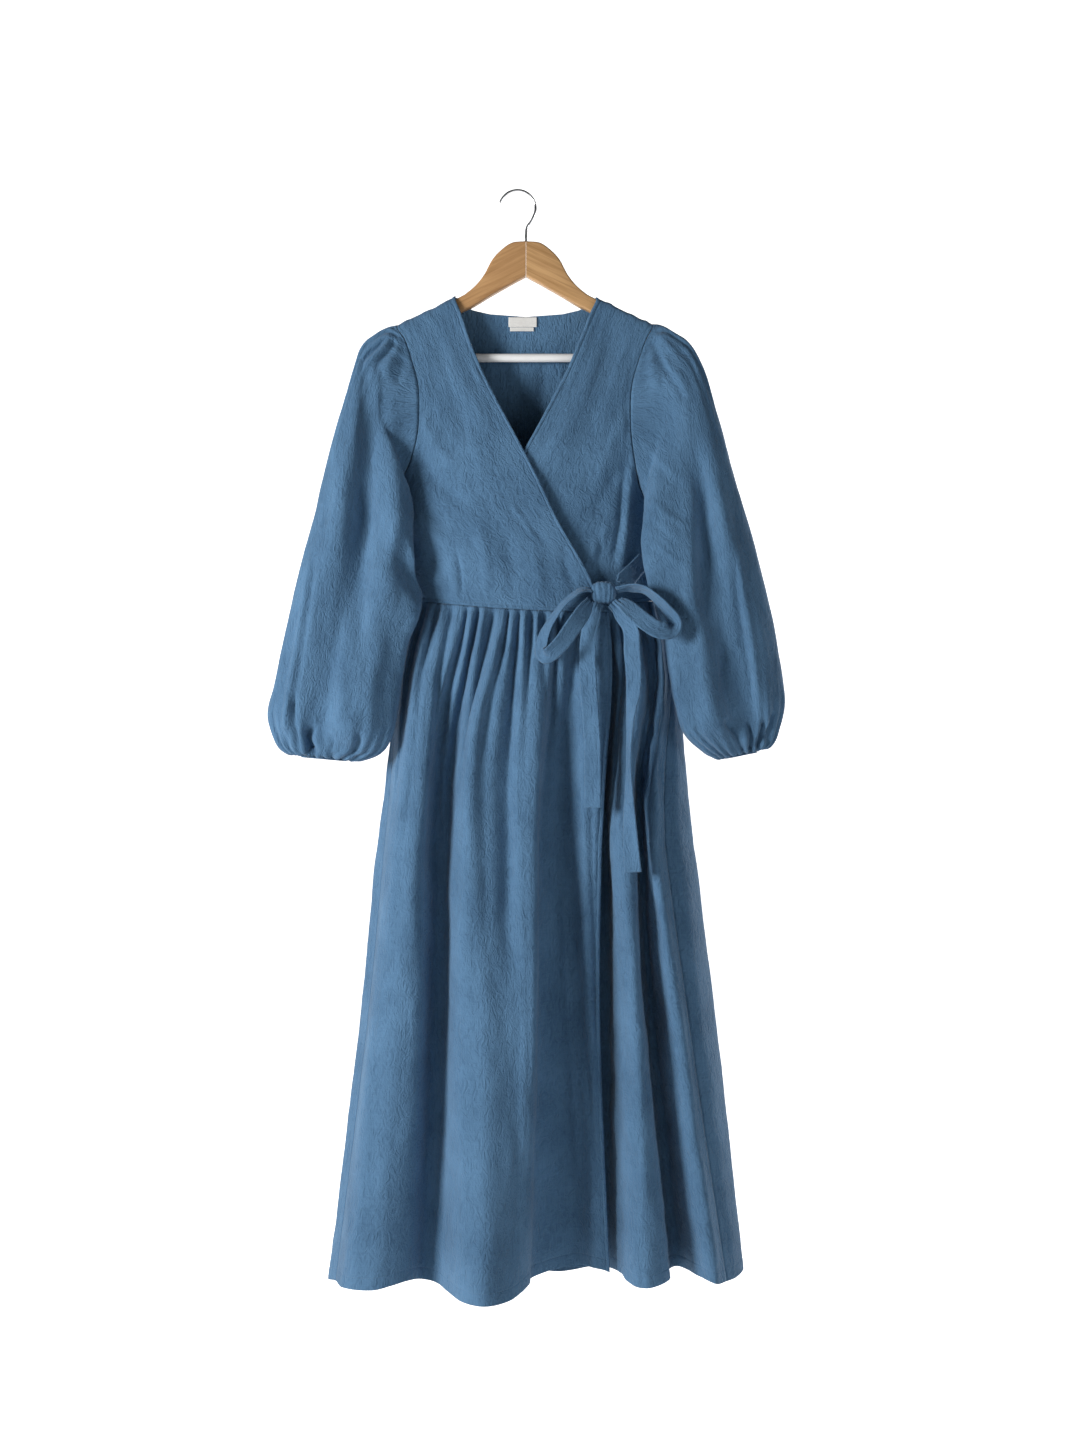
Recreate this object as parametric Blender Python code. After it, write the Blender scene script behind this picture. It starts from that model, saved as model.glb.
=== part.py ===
"""Wrap dress on a wooden hanger, hung by its hook.

The cloth is a set of thin walls, one for each piece that a maker would cut and sew.
Every wall is a grid moved onto its own surface function, then given its thickness.
Lengths in the tables are millimetres, +X to the viewer's right, the front faces -Y, and
+Z is up. The origin is the inside top of the hook, where a rail or a peg holds it.
"""
import math

import bmesh
import bpy
from mathutils import Vector

MM = 0.001
TINY = 0.0001

# Driving dimensions of the cloth
WALL = 1.2
SEAM_HALF = 0.2
ARMHOLE_GAP = 0.8
UNDERARM_GAP = 3.0
STRIP_WALL = 1.6
STRIP_WIDTH = 22.0

# Driving dimensions of the hanger
CENTRE_X = 11.2
WOOD_THICK = 13.0
WOOD_EDGE = 3.0
ARM_BEVEL_STEPS = 2
ARM_SLOPE = 0.487
ARM_START = 88.8
ARM_START_Z = -141.2
CLOTH_OVER_WOOD = 2.8
HOOK_WIRE = 3.3
HOOK_RADIUS = 23.8
HOOK_FROM = 165.0
HOOK_TO = -18.0
HOOK_ARC_STEPS = 22
BAR_RADIUS = 5.5
BAR_SIDES = 12
BAR_Z = -219.8
BAR_HALF = 179.7
BAR_SMOOTH_DEGREES = 40.0

# Stretch of the hook from the arc down into the wood: x, z
HOOK_STEM = [(18.6, -38.5), (13.2, -46.0), (11.3, -54.0), (11.2, -66.4)]
HOOK_STEM_STEPS = 3

# Half outline of the wooden arm: distance from the middle, height
ARM_OUTLINE = [
    (0.2, -66.7), (18.5, -68.6), (33.0, -78.5), (44.5, -91.0), (55.0, -110.5),
    (66.0, -124.5), (77.0, -134.0), (ARM_START, ARM_START_Z), (150.0, -171.0),
    (192.0, -191.5), (200.5, -197.5), (204.5, -206.0), (204.5, -222.0), (199.0, -232.0),
    (186.0, -235.0), (180.0, -232.0), (180.0, -212.0), (150.0, -196.0),
    (85.0, -160.0), (69.0, -152.5), (47.5, -139.5), (24.0, -126.0), (0.2, -113.0),
]

# The first bodice rows pass over the wood: depth from the shoulder seam, and drop
SHOULDER_ROWS = [("seam", 0.35, 0.0), ("wood_top", 5.0, 1.2), ("wood_edge", 9.3, 6.8)]

# Front sections from the collar bone down to the waist seam.
# side: armhole, then side seam. edge: the crossing neck edge. full: how soon the wall
# reaches its depth, from 1 for a straight section to 7 for a boxy one.
# Columns: name, side x, side y, side z, edge x, edge y, edge z, full
FRONT_OVER = [
    ("collar_bone", -146.8, -10.5, -199.4, -74.0, -11.5, -164.2, 1.2),
    ("upper_chest", -136.0, -12.5, -232.0, -60.0, -16.5, -206.0, 1.4),
    ("bar_level", -130.0, -15.0, -256.0, -44.0, -22.0, -244.0, 1.6),
    ("chest", -128.1, -17.0, -283.0, -24.0, -27.5, -285.0, 1.8),
    ("bust", -129.8, -20.0, -322.0, -5.4, -31.0, -320.3, 2.0),
    ("crossing", -138.1, -18.0, -354.0, 9.0, -34.0, -348.1, 2.4),
    ("under_bust", -151.6, -10.0, -382.0, 27.2, -37.0, -383.6, 3.2),
    ("underarm", -165.7, -1.0, -400.6, 36.5, -38.5, -404.0, 3.8),
    ("upper_side", -157.7, -1.0, -446.8, 56.0, -41.5, -445.0, 4.6),
    ("lower_side", -144.5, -1.0, -499.6, 88.0, -43.5, -501.0, 5.2),
    ("waist", -136.6, -1.0, -540.5, 110.0, -44.5, -557.5, 5.5),
]
FRONT_UNDER = [
    ("collar_bone", 168.0, -10.5, -199.4, 94.9, -11.5, -165.5, 1.2),
    ("upper_chest", 156.5, -12.5, -233.0, 79.0, -15.5, -206.0, 1.4),
    ("bar_level", 150.0, -15.0, -258.0, 63.0, -19.0, -244.0, 1.6),
    ("chest", 147.8, -17.5, -285.0, 42.0, -23.5, -285.0, 1.8),
    ("bust", 148.5, -19.0, -322.0, 23.5, -27.0, -320.3, 2.0),
    ("crossing", 152.8, -18.0, -356.0, 8.0, -29.5, -348.1, 2.4),
    ("under_bust", 160.5, -12.0, -392.0, -11.0, -31.0, -386.0, 3.2),
    ("underarm", 176.0, -1.0, -422.0, -24.0, -32.0, -410.0, 4.2),
    ("upper_side", 174.0, -1.0, -452.0, -40.0, -33.0, -447.0, 5.0),
    ("lower_side", 171.0, -1.0, -499.6, -52.0, -33.5, -501.0, 6.0),
    ("waist", 169.0, -1.0, -540.5, -60.0, -34.0, -553.0, 6.5),
]
# Back sections: left edge, right edge, depth at the middle, fullness, and how much of
# the shoulder and neck line's shape the section still has.
# Columns: name, left x, left y, left z, right x, right y, right z, middle y, full, neck
BACK = [
    ("collar_bone", -150.0, 10.2, -199.4, 170.0, 10.2, -199.4, 11.2, 2.0, 0.70),
    ("upper_chest", -143.0, 10.8, -232.0, 162.0, 10.8, -233.0, 12.4, 2.0, 0.42),
    ("bar_level", -139.5, 11.2, -256.0, 158.0, 11.2, -258.0, 13.4, 2.0, 0.22),
    ("chest", -138.0, 11.5, -283.0, 156.5, 11.5, -285.0, 14.0, 2.0, 0.08),
    ("bust", -140.0, 11.0, -322.0, 158.0, 11.0, -322.0, 14.5, 2.0, 0.0),
    ("crossing", -146.0, 9.0, -354.0, 163.0, 9.0, -356.0, 15.0, 2.5, 0.0),
    ("under_bust", -155.0, 6.0, -382.0, 169.0, 6.5, -392.0, 15.0, 3.5, 0.0),
    ("underarm", -165.7, 0.3, -400.6, 176.0, 0.3, -422.0, 15.0, 4.5, 0.0),
    ("upper_side", -157.7, 0.3, -446.8, 174.0, 0.3, -452.0, 15.5, 5.5, 0.0),
    ("lower_side", -144.5, 0.3, -499.6, 171.0, 0.3, -499.6, 16.0, 6.0, 0.0),
    ("waist", -136.6, 0.3, -540.5, 169.0, 0.3, -540.5, 16.0, 6.5, 0.0),
]
SHOULDER_LEFT_X = -157.0
SHOULDER_RIGHT_X = 176.6
NECK_LEFT_X = -81.0
NECK_RIGHT_X = 103.4
UNDERARM_ROW = len(SHOULDER_ROWS) + 7
BODICE_STEPS = 12
EDGE_FALL = 0.27

# Back neck edge from the middle out to the shoulder: distance from the middle, y, z
NECK_LINE = [(0.0, 10.6, -163.0), (48.0, 10.3, -159.5), (70.0, 10.0, -154.5),
             (82.0, 9.6, -149.0), (88.0, 9.3, -145.5), (90.6, 5.4, -140.2)]
NECK_POINT = 92.2
# Columns of the back panel: distance from the middle over the half width at the top
BACK_STEPS = [0.0, 24.0, 48.0, 70.0, 82.0, 88.0, 90.6, NECK_POINT, 112.0, 134.0, 152.0]

# Skirt folds in order round the body, from the over panel's free edge to the left seam,
# round the back to the right seam and on to the hidden edge of the under panel. Each
# starts at its place along the waist and runs on to the hem; steps are the grid's
# columns from it to the next fold.
# Columns: name, waist x, steps, hip x, hip y, knee x, knee y, hem x, hem y, hem z
OVER_FOLDS = [
    ("over_edge", 110, 4, 110, -50, 107, -44, 120, -40, -1413),
    ("edge_ridge", 92, 4, 92, -51, 92, -47, 102, -37, -1409),
    ("c_groove", 75, 4, 58, -32, 64, -32, 73, -22, -1409),
    ("c_drop", 57, 4, 31, -46, 28, -48, 22, -47, -1416),
    ("c_edge", 39, 4, 27, -72, 26, -96, 16, -82, -1414),
    ("c_middle", 22, 4, 6, -73, 13, -105, 6, -100, -1419),
    ("b_right", 4, 4, -16, -62, -10, -104, -12, -118, -1425),
    ("b_middle", -14, 4, -48, -75, -43, -109, -42, -132, -1426),
    ("b_left", -31, 4, -73, -62, -78, -85, -73, -106, -1426),
    ("ab_right", -49, 4, -86, -38, -92, -46, -99, -60, -1422),
    ("ab_left", -66, 4, -103, -40, -110, -45, -121, -52, -1418),
    ("a_right", -84, 4, -116, -64, -124, -79, -140, -78, -1412),
    ("a_middle", -102, 4, -136, -69, -154, -83, -180, -95, -1418),
    ("a_left", -119, 4, -157, -50, -184, -62, -219, -78, -1421),
    ("left_seam", -136.6, 3, -167, -20, -194, -25, -235, -35, -1426),
]
BACK_FOLDS = [
    ("left_out", -125, 4, -177, -2, -206, -2, -248, -8, -1432),
    ("left_back", -108, 5, -170, 18, -200, 22, -240, 28, -1433),
    ("back_a", -87, 5, -142, 25, -165, 31, -198, 36, -1433),
    ("back_ab", -64, 5, -112, 13, -124, 14, -146, 12, -1431),
    ("back_b", -38, 5, -78, 26, -84, 33, -98, 38, -1432),
    ("back_bc", -12, 5, -40, 13, -40, 12, -46, 10, -1430),
    ("back_c", 14, 5, 0, 27, 2, 34, 4, 39, -1431),
    ("back_cd", 40, 5, 44, 14, 48, 14, 54, 11, -1429),
    ("back_d", 64, 5, 84, 27, 94, 33, 108, 38, -1430),
    ("back_de", 88, 5, 126, 14, 142, 13, 164, 12, -1428),
    ("back_e", 110, 5, 166, 25, 192, 30, 224, 34, -1428),
    ("right_back", 132, 4, 206, 17, 244, 20, 284, 25, -1426),
    ("right_out", 150, 3, 221, -4, 260, -5, 297, -8, -1418),
    ("side_ridge", 162, 2, 204, -36, 241, -45, 285, -36, -1421),
]
UNDER_FOLDS = [
    ("right_seam", 169, 2, 185, -44, 221, -57, 270, -52, -1421),
    ("e_middle", 163, 2, 173, -56, 206, -72, 255, -72, -1418),
    ("e_left", 156, 2, 163, -44, 193, -58, 235, -56, -1413),
    ("de_groove", 149, 2, 157, -25, 179, -20, 213, -10, -1415),
    ("d_drop", 142, 2, 147, -31, 166, -32, 196, -28, -1414),
    ("d_edge", 135, 3, 144, -50, 163, -68, 194, -66, -1414),
    ("d_middle", 126, 3, 133, -58, 150, -81, 172, -86, -1418),
    ("d_left", 117, 3, 121, -45, 134, -60, 150, -76, -1418),
    ("d_fall", 108, 3, 113, -22, 122, -22, 132, -40, -1413),
    ("hidden_a", 96, 6, 95, -15, 104, -12, 112, -5, -1417),
    ("hidden_b", 56, 8, 50, -14, 52, -12, 52, -3, -1418),
    ("hidden_c", -2, 8, -2, -15, -6, -13, -10, -6, -1418),
    ("hidden_end", -60, 1, -54, -15, -58, -13, -62, -8, -1418),
]
HIP_Z = -802.0
KNEE_Z = -1085.0
SEAM_SHIFT = 0.022
STEPS_PER_GATHER = 4
GATHER_STEP = 4.4
GATHER_FADE_STEPS = 3.0
# Skirt rows: name, share of the way from waist to hem, depth of the gathers
SKIRT_ROWS = [
    ("seam", 0.0, 0.6), ("gathers_top", 0.017, 1.8), ("gathers", 0.05, 2.6),
    ("gathers_low", 0.105, 2.4), ("upper_hip", 0.18, 1.4), ("hip", 0.29, 0.4),
    ("thigh", 0.45, 0.0), ("knee", 0.64, 0.0), ("calf", 0.84, 0.0), ("hem", 1.0, 0.0),
]

# Sleeve rings from the armhole to the cuff. The outer and the inner edge of the hanging
# sleeve, the depth in front of and behind the line between them, how far the front leans
# over the bodice below the armhole, and how far the back draws away from it there.
# Columns: name, outer x, y, z, inner x, y, z, front depth, back depth, lean, draw
LEFT_RINGS = [
    ("cap", -170.0, -1.0, -181.0, -171.2, -0.3, -411.5, 20.0, 15.7, 8.1, 0.6),
    ("crown", -187.0, -2.0, -190.5, -172.8, -9.4, -430.0, 22.0, 25.0, 14.0, 0.8),
    ("arm_end", -205.0, -4.0, -207.5, -160.6, -14.0, -447.4, 23.0, 20.0, 13.9, 14.7),
    ("upper", -217.5, -8.0, -243.9, -160.2, -21.4, -472.0, 24.0, 19.0, 13.7, 12.0),
    ("mid_upper", -231.8, -10.0, -299.5, -149.6, -29.2, -501.2, 25.0, 24.1, 5.6, 12.3),
    ("above_elbow", -247.0, -14.0, -356.6, -134.3, -25.0, -529.0, 26.0, 19.5, -9.0, 7.4),
    ("elbow", -264.8, -18.0, -429.3, -131.2, -37.0, -560.1, 27.0, 22.0, 0.0, 0.0),
    ("below_elbow", -280.0, -22.0, -488.6, -144.2, -38.0, -595.1, 28.0, 22.0, 0.0, 0.0),
    ("forearm", -297.7, -26.0, -567.2, -152.0, -40.0, -639.3, 29.0, 22.0, 0.0, 0.0),
    ("balloon", -315.6, -28.0, -650.8, -158.5, -42.0, -691.2, 29.0, 22.0, 0.0, 0.0),
    ("balloon_low", -323.5, -28.0, -690.0, -164.0, -44.0, -720.0, 27.0, 21.0, 0.0, 0.0),
    ("turn", -314.0, -28.0, -724.0, -176.0, -40.0, -739.0, 24.0, 19.0, 0.0, 0.0),
    ("under_turn", -302.0, -30.0, -738.0, -197.0, -35.0, -748.0, 21.0, 16.0, 0.0, 0.0),
    ("inner_turn", -291.0, -31.0, -741.0, -210.0, -33.0, -749.0, 16.0, 12.0, 0.0, 0.0),
    ("cuff_seam", -282.0, -31.0, -731.0, -220.0, -32.0, -736.0, 13.0, 9.0, 0.0, 0.0),
]
RIGHT_RINGS = [
    ("cap", 190.5, -1.0, -178.0, 184.0, -3.0, -434.0, 20.0, 20.0, 11.0, 0.0),
    ("crown", 206.5, -2.0, -187.0, 187.0, -8.0, -450.0, 22.0, 20.0, 13.0, 8.0),
    ("arm_end", 226.5, -4.0, -202.5, 187.0, -14.0, -466.0, 23.0, 20.0, 12.0, 13.0),
    ("upper", 242.8, -8.0, -234.7, 182.0, -21.0, -483.0, 24.0, 19.0, 10.0, 12.0),
    ("mid_upper", 258.4, -10.0, -286.4, 180.0, -28.0, -503.0, 25.0, 20.0, 6.0, 8.0),
    ("above_elbow", 271.1, -14.0, -331.7, 182.5, -34.0, -525.0, 26.0, 21.0, 2.0, 4.0),
    ("elbow", 287.6, -18.0, -393.9, 192.1, -37.0, -567.9, 27.0, 22.0, 0.0, 0.0),
    ("below_elbow", 313.3, -22.0, -488.6, 198.6, -40.0, -613.3, 28.0, 22.0, 0.0, 0.0),
    ("forearm", 331.1, -26.0, -563.3, 204.0, -44.0, -652.3, 29.0, 22.0, 0.0, 0.0),
    ("balloon", 345.1, -28.0, -644.3, 212.0, -48.0, -696.4, 29.0, 22.0, 0.0, 0.0),
    ("balloon_low", 347.7, -28.0, -678.0, 221.0, -46.0, -718.5, 27.0, 21.0, 0.0, 0.0),
    ("turn", 340.0, -28.0, -710.0, 241.0, -40.0, -737.0, 24.0, 19.0, 0.0, 0.0),
    ("under_turn", 332.0, -30.0, -728.0, 253.0, -35.0, -744.0, 21.0, 16.0, 0.0, 0.0),
    ("inner_turn", 323.0, -31.0, -734.0, 263.0, -33.0, -747.0, 16.0, 12.0, 0.0, 0.0),
    ("cuff_seam", 314.0, -31.0, -725.0, 268.0, -32.0, -733.0, 13.0, 9.0, 0.0, 0.0),
]
RING_ROUND = 0.65
# Long folds of a sleeve: turn round it in degrees from the outer edge, forward first,
# half width in degrees, and depth at the cap, the elbow and the balloon
SLEEVE_FOLDS = [
    ("outer_ridge", 52.0, 16.0, 1.0, 5.0, 6.0),
    ("front_groove", 84.0, 16.0, 0.0, -7.0, -9.0),
    ("inner_ridge", 116.0, 18.0, 0.0, 6.0, 7.0),
    ("back_ridge", 240.0, 22.0, 0.0, 4.0, 6.0),
    ("back_groove", 280.0, 20.0, 0.0, -4.0, -6.0),
]
OVER_WOOD_TURNS = [0.0, 3.7]
HEAD_STEPS = 8
HEAD_FROM = 9.0
HEAD_TO = 76.0
LOW_STEPS = 8
HEAD_GATHER_DEPTH = [0.0, 0.8, 1.2, 0.8, 0.3]
CUFF_GATHER_DEPTH = [0.2, 0.5, 0.9, 1.2, 1.3]
CUFF_TOP = 3.0
CUFF_HEIGHT = 18.0
CUFF_INSET = 2.2
CUFF_BITE = 0.86
UNDERARM_POWER = 6
# Rings at the end of a sleeve that carry cuff gathers in place of the long folds
CUFF_RINGS = 4

# Ties: centre line and turn of the flat strip, 0 facing the viewer and 90 edge on.
# Columns: name, x, y, z, turn
LOOP_LEFT = [
    ("knot", 95.1, -55.1, -530.0, 60.0), ("out", 79.6, -59.1, -533.0, 68.0),
    ("upper", 56.6, -63.1, -553.0, 70.0), ("far", 38.6, -64.1, -581.0, 58.0),
    ("bend", 31.6, -68.1, -606.0, 44.0), ("turn", 38.6, -79.1, -616.0, 34.0),
    ("lower", 54.6, -85.1, -603.0, 22.0), ("near", 72.6, -82.1, -578.0, 16.0),
    ("back", 87.6, -73.1, -556.0, 22.0), ("knot_low", 94.1, -65.1, -546.0, 34.0),
]
LOOP_RIGHT = [
    ("knot", 128.0, -54.8, -530.4, 60.0), ("out", 146.5, -58.8, -527.9, 66.0),
    ("upper", 166.5, -64.8, -532.4, 70.0), ("far", 188.5, -68.8, -552.4, 62.0),
    ("bend", 200.5, -71.8, -570.4, 44.0), ("turn", 196.5, -79.8, -583.4, 12.0),
    ("lower", 178.5, -83.8, -582.4, 4.0), ("near", 156.5, -80.8, -567.4, 10.0),
    ("back", 139.5, -72.8, -551.4, 22.0), ("knot_low", 129.5, -64.8, -544.4, 34.0),
]
TAIL_LEFT = [
    ("knot", 104.0, -56.4, -547.3, 10.0), ("drop", 96.0, -62.4, -569.8, 6.0),
    ("upper", 91.0, -64.4, -609.8, 2.0), ("middle", 93.0, -66.4, -665.8, -4.0),
    ("lower", 97.0, -68.4, -729.8, 0.0), ("end", 97.5, -72.4, -809.8, 3.0),
]
TAIL_RIGHT = [
    ("knot", 122.0, -55.8, -547.0, 12.0), ("drop", 134.0, -61.8, -560.5, 18.0),
    ("bend", 146.0, -64.8, -581.5, 24.0), ("upper", 148.0, -66.8, -609.5, 14.0),
    ("fall", 150.0, -68.8, -651.5, 26.0), ("twist", 145.0, -71.8, -701.5, 62.0),
    ("edge_on", 143.0, -74.8, -757.5, 70.0), ("open", 144.0, -78.8, -827.5, 40.0),
    ("end", 148.0, -81.8, -891.5, 6.0),
]
STRAP = [
    ("knot", 124.8, -50.4, -522.4, 8.0), ("rise", 135.3, -38.4, -511.4, 16.0),
    ("side", 147.3, -25.4, -499.4, 26.0), ("seam", 158.8, -16.4, -488.4, 32.0),
]
STRIP_STEPS = 3
STRIP_LOOK_AHEAD = 0.05
KNOT_CENTRE = (111.5, -53.1, -533.5)
KNOT_HALF = (16.5, 9.2, 14.5)
KNOT_SIDES = 16
KNOT_RINGS = 9
KNOT_SQUARE = 0.72

# Labels inside the back neck: left, right, gap below the neck edge, height
LABEL_MAIN = ("label_main", -12.0, 25.5, 0.8, 13.0)
LABEL_SIZE = ("label_size", -10.0, 21.5, 14.2, 5.2)
LABEL_STEPS = 4
LABEL_WALL = 1.0
LABEL_STANDOFF = 0.3

DENIM = (0.105, 0.188, 0.312, 1.0)
WOOD = (0.52, 0.30, 0.14, 1.0)
STEEL = (0.62, 0.62, 0.64, 1.0)
WHITE = (0.86, 0.86, 0.86, 1.0)
LABEL = (0.80, 0.79, 0.77, 1.0)


def clear_scene():
    """Remove the objects that the start-up file holds."""
    for item in list(bpy.data.objects):
        bpy.data.objects.remove(item, do_unlink=True)


def add_object(name, data, colour, roughness=0.85, metallic=0.0):
    """Link a mesh or a curve as a named sub-part with a material of its own."""
    material = bpy.data.materials.new(name + "_finish")
    material.use_nodes = True
    shader = material.node_tree.nodes["Principled BSDF"]
    shader.inputs["Base Color"].default_value = colour
    shader.inputs["Roughness"].default_value = roughness
    shader.inputs["Metallic"].default_value = metallic
    data.materials.append(material)
    made = bpy.data.objects.new(name, data)
    bpy.context.collection.objects.link(made)
    return made


def spline(rows, place):
    """Values on a smooth curve through the rows; place counts rows from 0."""
    last = len(rows) - 1
    index = min(max(int(math.floor(place)), 0), last - 1)
    t = place - index
    start = rows[index]
    end = rows[index + 1]
    before = rows[index - 1] if index > 0 else [2 * a - b for a, b in zip(start, end)]
    after = rows[index + 2] if index + 2 <= last else [2 * b - a for a, b in zip(start, end)]
    values = []
    for a, b, c, d in zip(before, start, end, after):
        slope = (c - a) * t
        bend = (2 * a - 5 * b + 4 * c - d) * t * t
        turn = (3 * b - a - 3 * c + d) * t * t * t
        values.append(0.5 * (2 * b + slope + bend + turn))
    return values


def reach(value, power):
    """How far a section has come to its full depth at a share of its width."""
    return 1.0 - (1.0 - value) ** power


def between(start, end, share):
    """Value at a share of the way from start to end."""
    return start + (end - start) * share


def add_wall(name, columns, rows, surface, wall, colour, closed=False):
    """A wall: a grid moved onto surface(column, row) and thickened about it.

    closed joins the last column to the first, as on a sleeve.
    """
    grid = bmesh.new()
    bmesh.ops.create_grid(grid, x_segments=columns, y_segments=rows, size=0.5)
    for vert in grid.verts:
        column = round((vert.co.x + 0.5) * columns)
        row = round((0.5 - vert.co.y) * rows)
        if closed:
            column = column % columns
        vert.co = Vector(surface(column, row)) * MM
    if closed:
        bmesh.ops.remove_doubles(grid, verts=grid.verts, dist=TINY / 10.0)
    bmesh.ops.recalc_face_normals(grid, faces=grid.faces)
    mesh = bpy.data.meshes.new(name)
    grid.to_mesh(mesh)
    grid.free()
    mesh.shade_smooth()
    made = add_object(name, mesh, colour)
    thicken = made.modifiers.new("thickness", "SOLIDIFY")
    thicken.thickness = wall * MM
    thicken.offset = 0.0
    return made


def shoulder_z(x):
    """Height of the shoulder seam, which lies over the sloping arm."""
    away = abs(x - CENTRE_X)
    return ARM_START_Z - (away - ARM_START) * ARM_SLOPE + CLOTH_OVER_WOOD


def front_point(sections, shoulder_x, neck_x, row, across):
    """Point of a front panel; across is 0 at the side and 1 at the crossing edge."""
    first = len(SHOULDER_ROWS)
    if row < first:
        depth, drop = SHOULDER_ROWS[row][1:]
        x = between(shoulder_x, neck_x, across)
        return x, -depth, shoulder_z(x) - drop
    side_x, side_y, side_z, edge_x, edge_y, edge_z, full = sections[row - first][1:]
    x = between(side_x, edge_x, across)
    y = between(side_y, edge_y, reach(across, full))
    z = between(side_z, edge_z, reach(across, 1.0 + (full - 1.0) * EDGE_FALL))
    return x, y, z


def over_point(row, across):
    """Point of the over panel's bodice, from the left side to its neck edge."""
    return front_point(FRONT_OVER, SHOULDER_LEFT_X, NECK_LEFT_X, row, across)


def under_point(row, across):
    """Point of the under panel's bodice, from the right side to its neck edge."""
    return front_point(FRONT_UNDER, SHOULDER_RIGHT_X, NECK_RIGHT_X, row, across)


def back_top(x):
    """Depth and height of the back's top line: two shoulders and the neck between."""
    away = abs(x - CENTRE_X)
    if away >= NECK_POINT:
        return SHOULDER_ROWS[0][1], shoulder_z(x)
    corner = (NECK_POINT, SHOULDER_ROWS[0][1], shoulder_z(CENTRE_X + NECK_POINT))
    line = NECK_LINE + [corner]
    for start, end in zip(line, line[1:]):
        if away <= end[0]:
            share = (away - start[0]) / (end[0] - start[0])
            return between(start[1], end[1], share), between(start[2], end[2], share)
    return corner[1:]


def back_point(row, across):
    """Point of the back bodice; across is 0 at the left edge and 1 at the right."""
    top_x = between(SHOULDER_LEFT_X, SHOULDER_RIGHT_X, across)
    top_y, top_z = back_top(top_x)
    first = len(SHOULDER_ROWS)
    if row < first:
        depth, drop = SHOULDER_ROWS[row][1:]
        return top_x, max(depth, top_y), top_z - drop
    left_x, left_y, left_z, right_x, right_y, right_z, mid_y, full, neck = BACK[row - first][1:]
    x = between(left_x, right_x, across)
    inward = min(across, 1.0 - across) * 2.0
    y = between(between(left_y, right_y, across), mid_y, reach(inward, full))
    level_top = between(shoulder_z(SHOULDER_LEFT_X), shoulder_z(SHOULDER_RIGHT_X), across)
    z = between(left_z, right_z, across) + (top_z - level_top) * neck
    return x, y, z


def back_columns():
    """Shares of the back's width at which its columns run, left to right."""
    left = [CENTRE_X - step for step in reversed(BACK_STEPS)]
    right = [CENTRE_X + step for step in BACK_STEPS[1:]]
    places = [SHOULDER_LEFT_X] + left + right + [SHOULDER_RIGHT_X]
    width = SHOULDER_RIGHT_X - SHOULDER_LEFT_X
    return [(place - SHOULDER_LEFT_X) / width for place in places]


def build_bodice():
    """The two crossing fronts and the back, from shoulder seam to waist seam."""
    rows = len(SHOULDER_ROWS) + len(FRONT_OVER) - 1

    def raised(point, row):
        """Stop the last row just above the waist seam."""
        lift = SEAM_HALF if row == rows else 0.0
        return point[0], point[1], point[2] + lift

    def over(column, row):
        return raised(over_point(row, column / BODICE_STEPS), row)

    def under(column, row):
        return raised(under_point(row, column / BODICE_STEPS), row)

    shares = back_columns()

    def back(column, row):
        return raised(back_point(row, shares[column]), row)

    add_wall("front_bodice_over", BODICE_STEPS, rows, over, WALL, DENIM)
    add_wall("front_bodice_under", BODICE_STEPS, rows, under, WALL, DENIM)
    add_wall("back_bodice", len(shares) - 1, rows, back, WALL, DENIM)


def skirt_point(fold, waist, row, wave):
    """Point of the skirt below a waist point, on a line between two folds."""
    hip_x, hip_y, knee_x, knee_y, hem_x, hem_y, hem_z = fold
    levels = [waist, (hip_x, hip_y, HIP_Z), (knee_x, knee_y, KNEE_Z), (hem_x, hem_y, hem_z)]
    share, depth = SKIRT_ROWS[row][1:]
    height = between(waist[2], hem_z, share)
    for index in range(3):
        if height >= levels[index + 1][2] or index == 2:
            break
    step = (levels[index][2] - height) / (levels[index][2] - levels[index + 1][2])
    x, y, z = spline(levels, index + min(step, 1.0))
    return x, y + depth * wave, z


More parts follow.
